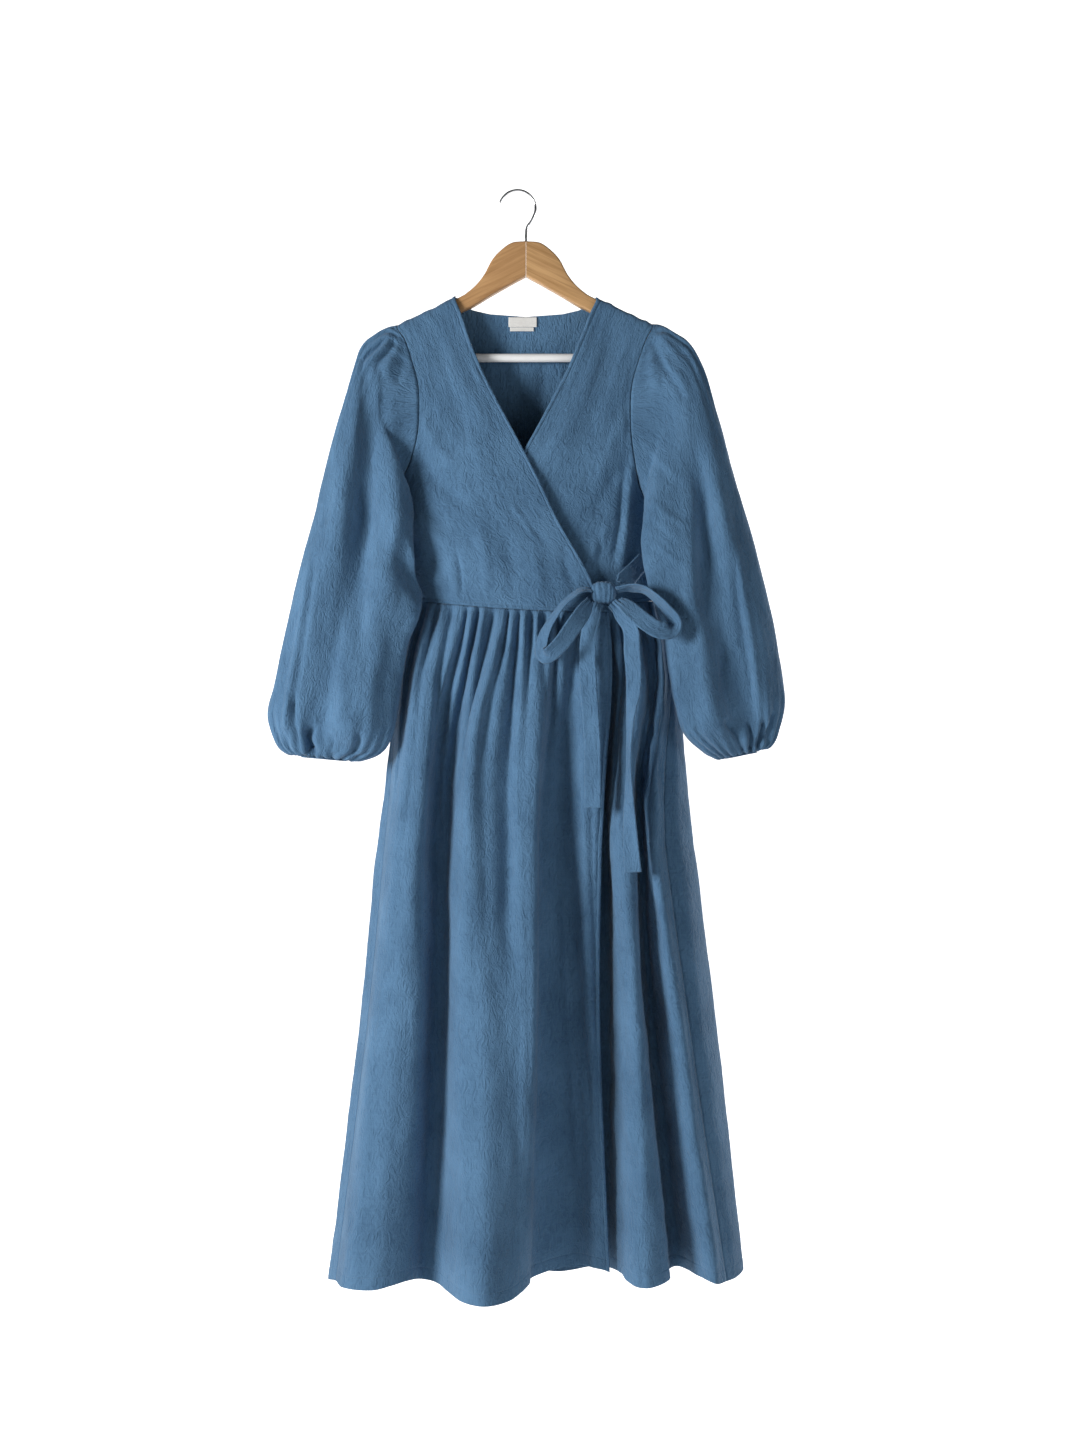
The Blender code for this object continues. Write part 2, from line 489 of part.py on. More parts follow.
def build_skirt():
    """Over panel, back and under panel, sharing one run of folds round the body."""
    folds = OVER_FOLDS + BACK_FOLDS + UNDER_FOLDS
    waist_row = len(SHOULDER_ROWS) + len(FRONT_OVER) - 1
    left_seam = len(OVER_FOLDS) - 1
    right_seam = len(OVER_FOLDS) + len(BACK_FOLDS)
    shapes = [fold[3:] for fold in folds]

    def panel(name, start, end, waist_at):
        places = []
        for index in range(start, end):
            steps = folds[index][2]
            places.extend(index + step / steps for step in range(steps))
        places[0] = places[0] + SEAM_SHIFT
        places.append(end - SEAM_SHIFT)
        first = folds[start][1]
        width = folds[end][1] - first

        def waist_x(place):
            index = min(int(place), end - 1)
            return between(folds[index][1], folds[index + 1][1], place - index)

        def surface(column, row):
            place = places[column]
            share = (waist_x(place) - first) / width
            share = {0: 0.0, len(places) - 1: 1.0}.get(column, share)
            waist = waist_at(share)
            waist = (waist[0], waist[1], waist[2] - SEAM_HALF)
            nearby = places[max(column - 1, 0)], places[min(column + 1, len(places) - 1)]
            spacing = abs(waist_x(nearby[1]) - waist_x(nearby[0])) / 2.0
            wave = math.cos(2.0 * math.pi * column / STEPS_PER_GATHER)
            to_seam = min(column, len(places) - 1 - column)
            wave = wave * min(1.0, spacing / GATHER_STEP) * min(1.0, to_seam / GATHER_FADE_STEPS)
            return skirt_point(spline(shapes, place), waist, row, wave)

        add_wall(name, len(places) - 1, len(SKIRT_ROWS) - 1, surface, WALL, DENIM)

    panel("skirt_front_over", 0, left_seam, lambda share: over_point(waist_row, 1.0 - share))
    panel("skirt_back", left_seam, right_seam, lambda share: back_point(waist_row, share))
    panel("skirt_front_under", right_seam, len(folds) - 1,
          lambda share: under_point(waist_row, share))


def armhole_point(front_at, back_across, turn, inward):
    """Point just outside the armhole at a turn from the shoulder, forward first."""
    forward = turn <= 180.0
    share = turn / 180.0 if forward else (360.0 - turn) / 180.0
    rows = []
    for row in range(UNDERARM_ROW + 1):
        rows.append(front_at(row, 0.0) if forward else back_point(row, back_across))
    lengths = [0.0]
    for start, end in zip(rows, rows[1:]):
        lengths.append(lengths[-1] + (Vector(end) - Vector(start)).length)
    target = share * lengths[-1]
    for index in range(UNDERARM_ROW):
        if target <= lengths[index + 1]:
            break
    step = (target - lengths[index]) / (lengths[index + 1] - lengths[index])
    point = Vector(rows[index]).lerp(Vector(rows[index + 1]), min(step, 1.0))
    low = share ** UNDERARM_POWER
    away = ARMHOLE_GAP + UNDERARM_GAP * low
    return point.x - inward * away, point.y, point.z - UNDERARM_GAP * low


def sleeve_turns():
    """Turns of the sleeve's columns in degrees, close together over the gathered head."""
    front = list(OVER_WOOD_TURNS)
    for step in range(HEAD_STEPS + 1):
        front.append(between(HEAD_FROM, HEAD_TO, step / HEAD_STEPS))
    for step in range(1, LOW_STEPS):
        front.append(between(HEAD_TO, 180.0, step / LOW_STEPS))
    back = [360.0 - turn for turn in reversed(front[1:])]
    return front + [180.0] + back


def fold_depth(turn, way_down):
    """Depth of the sleeve's long folds at a turn; way_down is 0 at the cap, 1 at the turn."""
    total = 0.0
    for name, centre, width, cap, elbow, balloon in SLEEVE_FOLDS:
        if way_down < 0.5:
            depth = between(cap, elbow, way_down * 2.0)
        else:
            depth = between(elbow, balloon, way_down * 2.0 - 1.0)
        total = total + depth * math.exp(-((turn - centre) / width) ** 2)
    return total


def ring_point(ring, turn, inward, swell):
    """Point of a sleeve ring; inward is the X direction of the body."""
    out_x, out_y, out_z, in_x, in_y, in_z, front, back, lean, draw = ring[1:]
    angle = math.radians(turn)
    share = (1.0 - math.cos(angle)) / 2.0
    side = math.sin(angle)
    depth = front if side > 0.0 else back
    power = 1.0 if 180.0 < turn < 270.0 else RING_ROUND
    push = (depth + swell) * math.copysign(abs(side) ** power, side)
    if abs(side) < TINY:
        push = 0.0
    shift = 0.0
    if 90.0 < turn < 180.0:
        shift = lean * math.sin(2.0 * math.radians(180.0 - turn)) * inward
    if 180.0 < turn < 270.0:
        shift = -draw * math.sin(2.0 * math.radians(turn - 180.0)) * inward
    x = between(out_x, in_x, share) + shift
    return x, between(out_y, in_y, share) - push, between(out_z, in_z, share)


def build_sleeve(name, rings, front_at, back_across, inward):
    """A gathered sleeve that hangs as a balloon and turns in to its cuff."""
    turns = sleeve_turns()
    last = len(rings)

    def surface(column, row):
        turn = turns[column]
        ripple = 1.0 if column % 2 else -1.0
        in_head = HEAD_FROM < min(turn, 360.0 - turn) < HEAD_TO
        gather = HEAD_GATHER_DEPTH[row] if in_head and row < len(HEAD_GATHER_DEPTH) else 0.0
        from_cuff = last - row
        if from_cuff < len(CUFF_GATHER_DEPTH) and turn not in (0.0, 180.0):
            gather = CUFF_GATHER_DEPTH[from_cuff]
        if row == 0:
            return armhole_point(front_at, back_across, turn, inward)
        way_down = min((row - 1) / (last - CUFF_RINGS - 1.0), 1.0)
        swell = gather * ripple
        if from_cuff >= CUFF_RINGS:
            swell = swell + fold_depth(turn, way_down)
        return ring_point(rings[row - 1], turn, inward, swell)

    add_wall(name, len(turns), last, surface, WALL, DENIM, closed=True)

    def cuff(column, row):
        turn = turns[column]
        ripple = 1.0 if column % 2 else -1.0
        x, y, z = ring_point(rings[-1], turn, inward, 0.0)
        mid_x = (rings[-1][1] + rings[-1][4]) / 2.0
        mid_y = (rings[-1][2] + rings[-1][5]) / 2.0
        radius = math.hypot(x - mid_x, y - mid_y)
        bite = CUFF_BITE if row == 1 else 1.0
        scale = (radius - CUFF_INSET) * bite / radius
        drop = between(-CUFF_TOP, CUFF_HEIGHT - CUFF_TOP, row / 2.0)
        return mid_x + (x - mid_x) * scale, mid_y + (y - mid_y) * scale, z - drop

    add_wall(name.replace("sleeve", "cuff"), len(turns), 2, cuff, WALL, DENIM, closed=True)


def build_strip(name, rows):
    """A flat tie that follows its centre line and turns about it."""
    values = [row[1:] for row in rows]
    steps = (len(rows) - 1) * STRIP_STEPS

    def surface(column, row):
        place = row / STRIP_STEPS
        x, y, z, turn = spline(values, place)
        ahead = spline(values, min(place + STRIP_LOOK_AHEAD, len(rows) - 1.0))
        behind = spline(values, max(place - STRIP_LOOK_AHEAD, 0.0))
        path = Vector(ahead[:3]) - Vector(behind[:3])
        path.normalize()
        face_on = path.cross(Vector((0.0, 1.0, 0.0))).normalized()
        edge_on = path.cross(face_on).normalized()
        angle = math.radians(turn)
        direction = face_on * math.cos(angle) + edge_on * math.sin(angle)
        point = Vector((x, y, z)) + direction * (column - 1) * STRIP_WIDTH / 2.0
        return point.x, point.y, point.z

    add_wall(name, 2, steps, surface, STRIP_WALL, DENIM)


def build_knot():
    """The tight knot: a round form squared off as folded cloth is."""
    knot = bmesh.new()
    bmesh.ops.create_uvsphere(knot, u_segments=KNOT_SIDES, v_segments=KNOT_RINGS, radius=1.0)
    for vert in knot.verts:
        place = []
        for axis in range(3):
            value = vert.co[axis]
            squared = math.copysign(abs(value) ** KNOT_SQUARE, value) if value else 0.0
            place.append((KNOT_CENTRE[axis] + squared * KNOT_HALF[axis]) * MM)
        vert.co = place
    bmesh.ops.recalc_face_normals(knot, faces=knot.faces)
    mesh = bpy.data.meshes.new("tie_knot")
    knot.to_mesh(mesh)
    knot.free()
    mesh.shade_smooth()
    add_object("tie_knot", mesh, DENIM)


def build_ties():
    """Knot, two loops, two hanging tails and the strap that comes round the side."""
    build_knot()
    build_strip("bow_loop_left", LOOP_LEFT)
    build_strip("bow_loop_right", LOOP_RIGHT)
    build_strip("tie_tail_left", TAIL_LEFT)
    build_strip("tie_tail_right", TAIL_RIGHT)
    build_strip("tie_strap", STRAP)


def build_label(label):
    """A bare label that lies on the inside of the back, just below the neck edge."""
    name, left, right, below, height = label
    width = SHOULDER_RIGHT_X - SHOULDER_LEFT_X
    standoff = (WALL + LABEL_WALL) / 2.0 + LABEL_STANDOFF

    def surface(column, row):
        x = between(left, right, column / LABEL_STEPS)
        across = (x - SHOULDER_LEFT_X) / width
        down = below + height * row
        top = back_point(0, across)
        edge = back_point(2, across)
        lower = back_point(3, across)
        if down <= SHOULDER_ROWS[2][2]:
            y = between(top[1], edge[1], down / SHOULDER_ROWS[2][2])
        else:
            share = (down - SHOULDER_ROWS[2][2]) / (edge[2] - lower[2])
            y = between(edge[1], lower[1], share)
        return x, y - standoff, NECK_LINE[0][2] - down

    add_wall(name, LABEL_STEPS, 1, surface, LABEL_WALL, LABEL)


def build_arm(name, side):
    """One half of the wooden hanger, its outline rounded over on both faces."""
    arm = bmesh.new()
    ring = []
    for away, height in ARM_OUTLINE:
        place = Vector((CENTRE_X + side * away, -WOOD_THICK / 2.0, height)) * MM
        ring.append(arm.verts.new(place))
    face = arm.faces.new(ring)
    grown = bmesh.ops.extrude_face_region(arm, geom=[face])
    moved = [item for item in grown["geom"] if isinstance(item, bmesh.types.BMVert)]
    bmesh.ops.translate(arm, verts=moved, vec=Vector((0.0, WOOD_THICK * MM, 0.0)))
    joint_x = (CENTRE_X + side * ARM_OUTLINE[0][0]) * MM
    rounded = []
    for edge in arm.edges:
        flat = abs(edge.verts[0].co.y - edge.verts[1].co.y) < TINY
        at_joint = all(abs(vert.co.x - joint_x) < TINY for vert in edge.verts)
        if flat and not at_joint:
            rounded.append(edge)
    bmesh.ops.bevel(arm, geom=rounded, offset=WOOD_EDGE * MM, offset_type="OFFSET",
                    segments=ARM_BEVEL_STEPS, profile=0.5, affect="EDGES", material=-1,
                    clamp_overlap=True)
    bmesh.ops.recalc_face_normals(arm, faces=arm.faces)
    mesh = bpy.data.meshes.new(name)
    arm.to_mesh(mesh)
    arm.free()
    mesh.shade_smooth()
    add_object(name, mesh, WOOD, 0.45)


def build_hook():
    """The wire hook: an arc that bears on its inside top, and the stem into the wood."""
    centre_z = HOOK_WIRE / 2.0 - HOOK_RADIUS
    points = []
    for step in range(HOOK_ARC_STEPS + 1):
        angle = math.radians(between(HOOK_FROM, HOOK_TO, step / HOOK_ARC_STEPS))
        points.append((HOOK_RADIUS * math.cos(angle), centre_z + HOOK_RADIUS * math.sin(angle)))
    stem = points[-1:] + HOOK_STEM
    for step in range(1, (len(stem) - 1) * HOOK_STEM_STEPS + 1):
        points.append(spline(stem, step / HOOK_STEM_STEPS))
    wire = bpy.data.curves.new("hanger_hook", "CURVE")
    wire.dimensions = "3D"
    wire.bevel_depth = HOOK_WIRE / 2.0 * MM
    wire.bevel_resolution = 2
    wire.use_fill_caps = True
    run = wire.splines.new("POLY")
    run.points.add(len(points) - 1)
    for place, (x, z) in zip(run.points, points):
        place.co = (x * MM, 0.0, z * MM, 1.0)
    add_object("hanger_hook", wire, STEEL, 0.2, 1.0)


def build_bar():
    """The round white bar between the two ends of the hanger."""
    bar = bmesh.new()
    bmesh.ops.create_cone(bar, cap_ends=True, cap_tris=False, segments=BAR_SIDES,
                          radius1=BAR_RADIUS * MM, radius2=BAR_RADIUS * MM,
                          depth=2.0 * BAR_HALF * MM)
    for vert in bar.verts:
        along = vert.co.z
        vert.co.z = BAR_Z * MM - vert.co.x
        vert.co.x = along + CENTRE_X * MM
    mesh = bpy.data.meshes.new("hanger_bar")
    bar.to_mesh(mesh)
    bar.free()
    mesh.shade_smooth()
    mesh.set_sharp_from_angle(angle=math.radians(BAR_SMOOTH_DEGREES))
    add_object("hanger_bar", mesh, WHITE, 0.35)


def main():
    """Build the hanger, then the dress that hangs on it."""
    clear_scene()
    build_arm("hanger_arm_left", -1.0)
    build_arm("hanger_arm_right", 1.0)
    build_hook()
    build_bar()
    build_bodice()
    build_skirt()
    build_sleeve("sleeve_left", LEFT_RINGS, over_point, 0.0, 1.0)
    build_sleeve("sleeve_right", RIGHT_RINGS, under_point, 1.0, -1.0)
    build_ties()
    build_label(LABEL_MAIN)
    build_label(LABEL_SIZE)


main()
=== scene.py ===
"""Looks of the wrap dress on its wooden hanger.

Every piece of cloth is a fine grid moved onto the same surface as its solid, with the
smaller gathers, creases and crinkles of washed cotton, and then given a thin wall.
Tables are in millimetres, as in the part: +X to the viewer's right, the front faces -Y,
+Z is up, and the origin is the inside top of the hook.
"""
import math

import bmesh
import bpy
import numpy as np
from mathutils import Matrix, Vector


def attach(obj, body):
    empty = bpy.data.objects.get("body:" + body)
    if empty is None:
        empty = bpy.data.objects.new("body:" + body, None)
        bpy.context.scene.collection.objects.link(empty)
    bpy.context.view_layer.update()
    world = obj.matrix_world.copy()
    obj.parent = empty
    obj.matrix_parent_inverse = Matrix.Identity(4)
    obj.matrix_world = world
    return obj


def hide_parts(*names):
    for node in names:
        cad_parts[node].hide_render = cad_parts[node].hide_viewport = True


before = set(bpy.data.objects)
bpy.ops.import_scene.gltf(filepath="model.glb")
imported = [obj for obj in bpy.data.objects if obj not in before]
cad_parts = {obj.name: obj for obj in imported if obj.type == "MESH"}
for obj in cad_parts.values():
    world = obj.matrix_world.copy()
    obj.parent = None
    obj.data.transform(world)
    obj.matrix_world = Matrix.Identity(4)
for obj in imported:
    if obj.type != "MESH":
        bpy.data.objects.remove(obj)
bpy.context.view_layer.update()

MM = 0.001
DETAIL = 1.0

# Photograph's camera: where it stands and the lens that gives its frame
CAMERA_PLACE = (33.66, -2200.0, -702.9)
CAMERA_LENS = 41.44
SENSOR_LONG = 36.0

# Cloth
CLOTH_WALL = 1.0
STRIP_WALL = 1.5
STRIP_WIDTH = 22.0
SEAM_HALF = 0.2
ARMHOLE_GAP = 0.8
UNDERARM_GAP = 3.0
UNDERARM_POWER = 6
# Distances from a finished edge at which columns run, for its roll and its stitching
EDGE_LINES = np.array([6.4, 5.0, 4.4, 3.8, 3.0, 1.8, 0.8, 0.0])
STITCH_PITCH = 3.3
STITCH_LENGTH = 2.4
STITCH_WIDTH = 0.46
# Grid lines that carry stitches: from a front's neck edge, from the waist, into HEM_LINES,
# and from the skirt's free edge
EDGE_STITCHED = -5
WAIST_STITCHED = -4
HEM_STITCHED = 2
FREE_EDGE_STITCHED = 4

# Hanger
CENTRE_X = 11.2
WOOD_THICK = 13.0
WOOD_EDGE = 3.0
ARM_SLOPE = 0.487
ARM_START = 88.8
ARM_START_Z = -141.2
CLOTH_OVER_WOOD = 2.8
HOOK_WIRE = 3.3
HOOK_RADIUS = 23.8
HOOK_FROM = 165.0
HOOK_TO = -18.0
HOOK_STEM = [(18.6, -38.5), (13.2, -46.0), (11.3, -54.0), (11.2, -66.4)]
BAR_RADIUS = 5.5
BAR_Z = -219.8
BAR_HALF = 179.7
ARM_OUTLINE = [
    (0.2, -66.7), (18.5, -68.6), (33.0, -78.5), (44.5, -91.0), (55.0, -110.5),
    (66.0, -124.5), (77.0, -134.0), (ARM_START, ARM_START_Z), (150.0, -171.0),
    (192.0, -191.5), (200.5, -197.5), (204.5, -206.0), (204.5, -222.0), (199.0, -232.0),
    (186.0, -235.0), (180.0, -232.0), (180.0, -212.0), (150.0, -196.0),
    (85.0, -160.0), (69.0, -152.5), (47.5, -139.5), (24.0, -126.0), (0.2, -113.0),
]

# Bodice rows: over the wood, then down the front and the back, as in the part
SHOULDER_ROWS = [("seam", 0.35, 0.0), ("wood_top", 5.0, 1.2), ("wood_edge", 9.3, 6.8)]
EDGE_FALL = 0.27
# Columns: name, side x, side y, side z, edge x, edge y, edge z, full
FRONT_OVER = [
    ("collar_bone", -146.8, -10.5, -199.4, -74.0, -11.5, -164.2, 1.2),
    ("upper_chest", -136.0, -12.5, -232.0, -60.0, -16.5, -206.0, 1.4),
    ("bar_level", -130.0, -15.0, -256.0, -44.0, -22.0, -244.0, 1.6),
    ("chest", -128.1, -17.0, -283.0, -24.0, -27.5, -285.0, 1.8),
    ("bust", -129.8, -20.0, -322.0, -5.4, -31.0, -320.3, 2.0),
    ("crossing", -138.1, -18.0, -354.0, 9.0, -34.0, -348.1, 2.4),
    ("under_bust", -151.6, -10.0, -382.0, 27.2, -37.0, -383.6, 3.2),
    ("underarm", -165.7, -1.0, -400.6, 36.5, -38.5, -404.0, 3.8),
    ("upper_side", -157.7, -1.0, -446.8, 56.0, -41.5, -445.0, 4.6),
    ("lower_side", -144.5, -1.0, -499.6, 88.0, -43.5, -501.0, 5.2),
    ("waist", -136.6, -1.0, -540.5, 110.0, -44.5, -557.5, 5.5),
]
FRONT_UNDER = [
    ("collar_bone", 168.0, -10.5, -199.4, 94.9, -11.5, -165.5, 1.2),
    ("upper_chest", 156.5, -12.5, -233.0, 79.0, -15.5, -206.0, 1.4),
    ("bar_level", 150.0, -15.0, -258.0, 63.0, -19.0, -244.0, 1.6),
    ("chest", 147.8, -17.5, -285.0, 42.0, -23.5, -285.0, 1.8),
    ("bust", 148.5, -19.0, -322.0, 23.5, -27.0, -320.3, 2.0),
    ("crossing", 152.8, -18.0, -356.0, 8.0, -29.5, -348.1, 2.4),
    ("under_bust", 160.5, -12.0, -392.0, -11.0, -31.0, -386.0, 3.2),
    ("underarm", 176.0, -1.0, -422.0, -24.0, -32.0, -410.0, 4.2),
    ("upper_side", 174.0, -1.0, -452.0, -40.0, -33.0, -447.0, 5.0),
    ("lower_side", 171.0, -1.0, -499.6, -52.0, -33.5, -501.0, 6.0),
    ("waist", 169.0, -1.0, -540.5, -60.0, -34.0, -553.0, 6.5),
]
# Columns: name, left x, left y, left z, right x, right y, right z, middle y, full, neck
BACK = [
    ("collar_bone", -150.0, 10.2, -199.4, 170.0, 10.2, -199.4, 11.2, 2.0, 0.70),
    ("upper_chest", -143.0, 10.8, -232.0, 162.0, 10.8, -233.0, 12.4, 2.0, 0.42),
    ("bar_level", -139.5, 11.2, -256.0, 158.0, 11.2, -258.0, 13.4, 2.0, 0.22),
    ("chest", -138.0, 11.5, -283.0, 156.5, 11.5, -285.0, 14.0, 2.0, 0.08),
    ("bust", -140.0, 11.0, -322.0, 158.0, 11.0, -322.0, 14.5, 2.0, 0.0),
    ("crossing", -146.0, 9.0, -354.0, 163.0, 9.0, -356.0, 15.0, 2.5, 0.0),
    ("under_bust", -155.0, 6.0, -382.0, 169.0, 6.5, -392.0, 15.0, 3.5, 0.0),
    ("underarm", -165.7, 0.3, -400.6, 176.0, 0.3, -422.0, 15.0, 4.5, 0.0),
    ("upper_side", -157.7, 0.3, -446.8, 174.0, 0.3, -452.0, 15.5, 5.5, 0.0),
    ("lower_side", -144.5, 0.3, -499.6, 171.0, 0.3, -499.6, 16.0, 6.0, 0.0),
    ("waist", -136.6, 0.3, -540.5, 169.0, 0.3, -540.5, 16.0, 6.5, 0.0),
]
SHOULDER_LEFT_X = -157.0
SHOULDER_RIGHT_X = 176.6
NECK_LEFT_X = -81.0
NECK_RIGHT_X = 103.4
WAIST_ROW = len(SHOULDER_ROWS) + len(FRONT_OVER) - 1
UNDERARM_ROW = len(SHOULDER_ROWS) + 7
# Back neck edge from the middle out to the shoulder: distance from the middle, y, z
NECK_LINE = [(0.0, 10.6, -163.0), (48.0, 10.3, -159.5), (70.0, 10.0, -154.5),
             (82.0, 9.6, -149.0), (88.0, 9.3, -145.5), (90.6, 5.4, -140.2)]
NECK_POINT = 92.2

# Skirt folds round the body, as in the part.
# Columns: name, waist x, steps, hip x, hip y, knee x, knee y, hem x, hem y, hem z
OVER_FOLDS = [
    ("over_edge", 110, 4, 110, -50, 107, -44, 120, -40, -1413),
    ("edge_ridge", 92, 4, 92, -51, 92, -47, 102, -37, -1409),
    ("c_groove", 75, 4, 58, -32, 64, -32, 73, -22, -1409),
    ("c_drop", 57, 4, 31, -46, 28, -48, 22, -47, -1416),
    ("c_edge", 39, 4, 27, -72, 26, -96, 16, -82, -1414),
    ("c_middle", 22, 4, 6, -73, 13, -105, 6, -100, -1419),
    ("b_right", 4, 4, -16, -62, -10, -104, -12, -118, -1425),
    ("b_middle", -14, 4, -48, -75, -43, -109, -42, -132, -1426),
    ("b_left", -31, 4, -73, -62, -78, -85, -73, -106, -1426),
    ("ab_right", -49, 4, -86, -38, -92, -46, -99, -60, -1422),
    ("ab_left", -66, 4, -103, -40, -110, -45, -121, -52, -1418),
    ("a_right", -84, 4, -116, -64, -124, -79, -140, -78, -1412),
    ("a_middle", -102, 4, -136, -69, -154, -83, -180, -95, -1418),
    ("a_left", -119, 4, -157, -50, -184, -62, -219, -78, -1421),
    ("left_seam", -136.6, 3, -167, -20, -194, -25, -235, -35, -1426),
]
BACK_FOLDS = [
    ("left_out", -125, 4, -177, -2, -206, -2, -248, -8, -1432),
    ("left_back", -108, 5, -170, 18, -200, 22, -240, 28, -1433),
    ("back_a", -87, 5, -142, 25, -165, 31, -198, 36, -1433),
    ("back_ab", -64, 5, -112, 13, -124, 14, -146, 12, -1431),
    ("back_b", -38, 5, -78, 26, -84, 33, -98, 38, -1432),
    ("back_bc", -12, 5, -40, 13, -40, 12, -46, 10, -1430),
    ("back_c", 14, 5, 0, 27, 2, 34, 4, 39, -1431),
    ("back_cd", 40, 5, 44, 14, 48, 14, 54, 11, -1429),
    ("back_d", 64, 5, 84, 27, 94, 33, 108, 38, -1430),
    ("back_de", 88, 5, 126, 14, 142, 13, 164, 12, -1428),
    ("back_e", 110, 5, 166, 25, 192, 30, 224, 34, -1428),
    ("right_back", 132, 4, 206, 17, 244, 20, 284, 25, -1426),
    ("right_out", 150, 3, 221, -4, 260, -5, 297, -8, -1418),
    ("side_ridge", 162, 2, 204, -36, 241, -45, 285, -36, -1421),
]
UNDER_FOLDS = [
    ("right_seam", 169, 2, 185, -44, 221, -57, 270, -52, -1421),
    ("e_middle", 163, 2, 173, -56, 206, -72, 255, -72, -1418),
    ("e_left", 156, 2, 163, -44, 193, -58, 235, -56, -1413),
    ("de_groove", 149, 2, 157, -25, 179, -20, 213, -10, -1415),
    ("d_drop", 142, 2, 147, -31, 166, -32, 196, -28, -1414),
    ("d_edge", 135, 3, 144, -50, 163, -68, 194, -66, -1414),
    ("d_middle", 126, 3, 133, -58, 150, -81, 172, -86, -1418),
    ("d_left", 117, 3, 121, -45, 134, -60, 150, -76, -1418),
    ("d_fall", 108, 3, 113, -22, 122, -22, 132, -40, -1413),
    ("hidden_a", 96, 6, 95, -15, 104, -12, 112, -5, -1417),
    ("hidden_b", 56, 8, 50, -14, 52, -12, 52, -3, -1418),
    ("hidden_c", -2, 8, -2, -15, -6, -13, -10, -6, -1418),
    ("hidden_end", -60, 1, -54, -15, -58, -13, -62, -8, -1418),
]
FOLDS = OVER_FOLDS + BACK_FOLDS + UNDER_FOLDS
HIP_Z = -802.0
KNEE_Z = -1085.0
SEAM_SHIFT = 0.002
STEPS_PER_GATHER = 4
# Steps from the free edge at which its first columns run, and where the even ones begin
FREE_EDGE_STEPS = [0.0, 0.14, 0.34, 0.56, 0.7, 0.84, 1.0]
FREE_EDGE_END = 1.1
# Power that sets the rows closer together near the waist
ROW_POWER = 1.12
# Shares of the way from waist to hem, and the depth of the gathers there
GATHER_FALL = [(0.0, 0.9), (0.012, 3.2), (0.045, 4.4), (0.10, 3.5), (0.18, 2.1), (0.29, 1.0),
               (0.47, 0.0)]
HEM_LINES = np.array([16.6, 15.8, 15.0, 14.2, 13.2, 10.0, 6.0, 2.6, 1.2, 0.0])
HEM_DEPTH = 15.0
PANEL_LENGTH = 868.0
# How far the sides stand out behind the sleeves, left and right.
# Columns: height, left, right
SIDE_SWELL = [(-430.0, 0.0, 0.0), (-490.0, 0.0, 7.0), (-541.0, 1.0, 15.0), (-600.0, 7.0, 26.0),
              (-640.0, 9.0, 27.0), (-690.0, 5.0, 22.0), (-740.0, 2.0, 13.0), (-800.0, 0.0, 5.0),
              (-860.0, 0.0, 0.0)]

# Sleeve rings from the armhole to the cuff, as in the part.
# Columns: name, outer x, y, z, inner x, y, z, front depth, back depth, lean, draw
LEFT_RINGS = [
    ("cap", -170.0, -1.0, -181.0, -171.2, -0.3, -411.5, 20.0, 15.7, 8.1, 0.6),
    ("crown", -187.0, -2.0, -190.5, -172.8, -9.4, -430.0, 22.0, 25.0, 14.0, 0.8),
    ("arm_end", -205.0, -4.0, -207.5, -160.6, -14.0, -447.4, 23.0, 20.0, 13.9, 14.7),
    ("upper", -217.5, -8.0, -243.9, -160.2, -21.4, -472.0, 24.0, 19.0, 13.7, 12.0),
    ("mid_upper", -231.8, -10.0, -299.5, -149.6, -29.2, -501.2, 25.0, 24.1, 5.6, 12.3),
    ("above_elbow", -247.0, -14.0, -356.6, -134.3, -25.0, -529.0, 26.0, 19.5, -9.0, 7.4),
    ("elbow", -264.8, -18.0, -429.3, -131.2, -37.0, -560.1, 27.0, 22.0, 0.0, 0.0),
    ("below_elbow", -280.0, -22.0, -488.6, -144.2, -38.0, -595.1, 28.0, 22.0, 0.0, 0.0),
    ("forearm", -297.7, -26.0, -567.2, -152.0, -40.0, -639.3, 29.0, 22.0, 0.0, 0.0),
    ("balloon", -315.6, -28.0, -650.8, -158.5, -42.0, -691.2, 29.0, 22.0, 0.0, 0.0),
    ("balloon_low", -323.5, -28.0, -690.0, -164.0, -44.0, -720.0, 27.0, 21.0, 0.0, 0.0),
    ("turn", -314.0, -28.0, -724.0, -176.0, -40.0, -739.0, 24.0, 19.0, 0.0, 0.0),
    ("under_turn", -302.0, -30.0, -738.0, -197.0, -35.0, -748.0, 21.0, 16.0, 0.0, 0.0),
    ("inner_turn", -291.0, -31.0, -741.0, -210.0, -33.0, -749.0, 16.0, 12.0, 0.0, 0.0),
    ("cuff_seam", -282.0, -31.0, -731.0, -220.0, -32.0, -736.0, 13.0, 9.0, 0.0, 0.0),
]
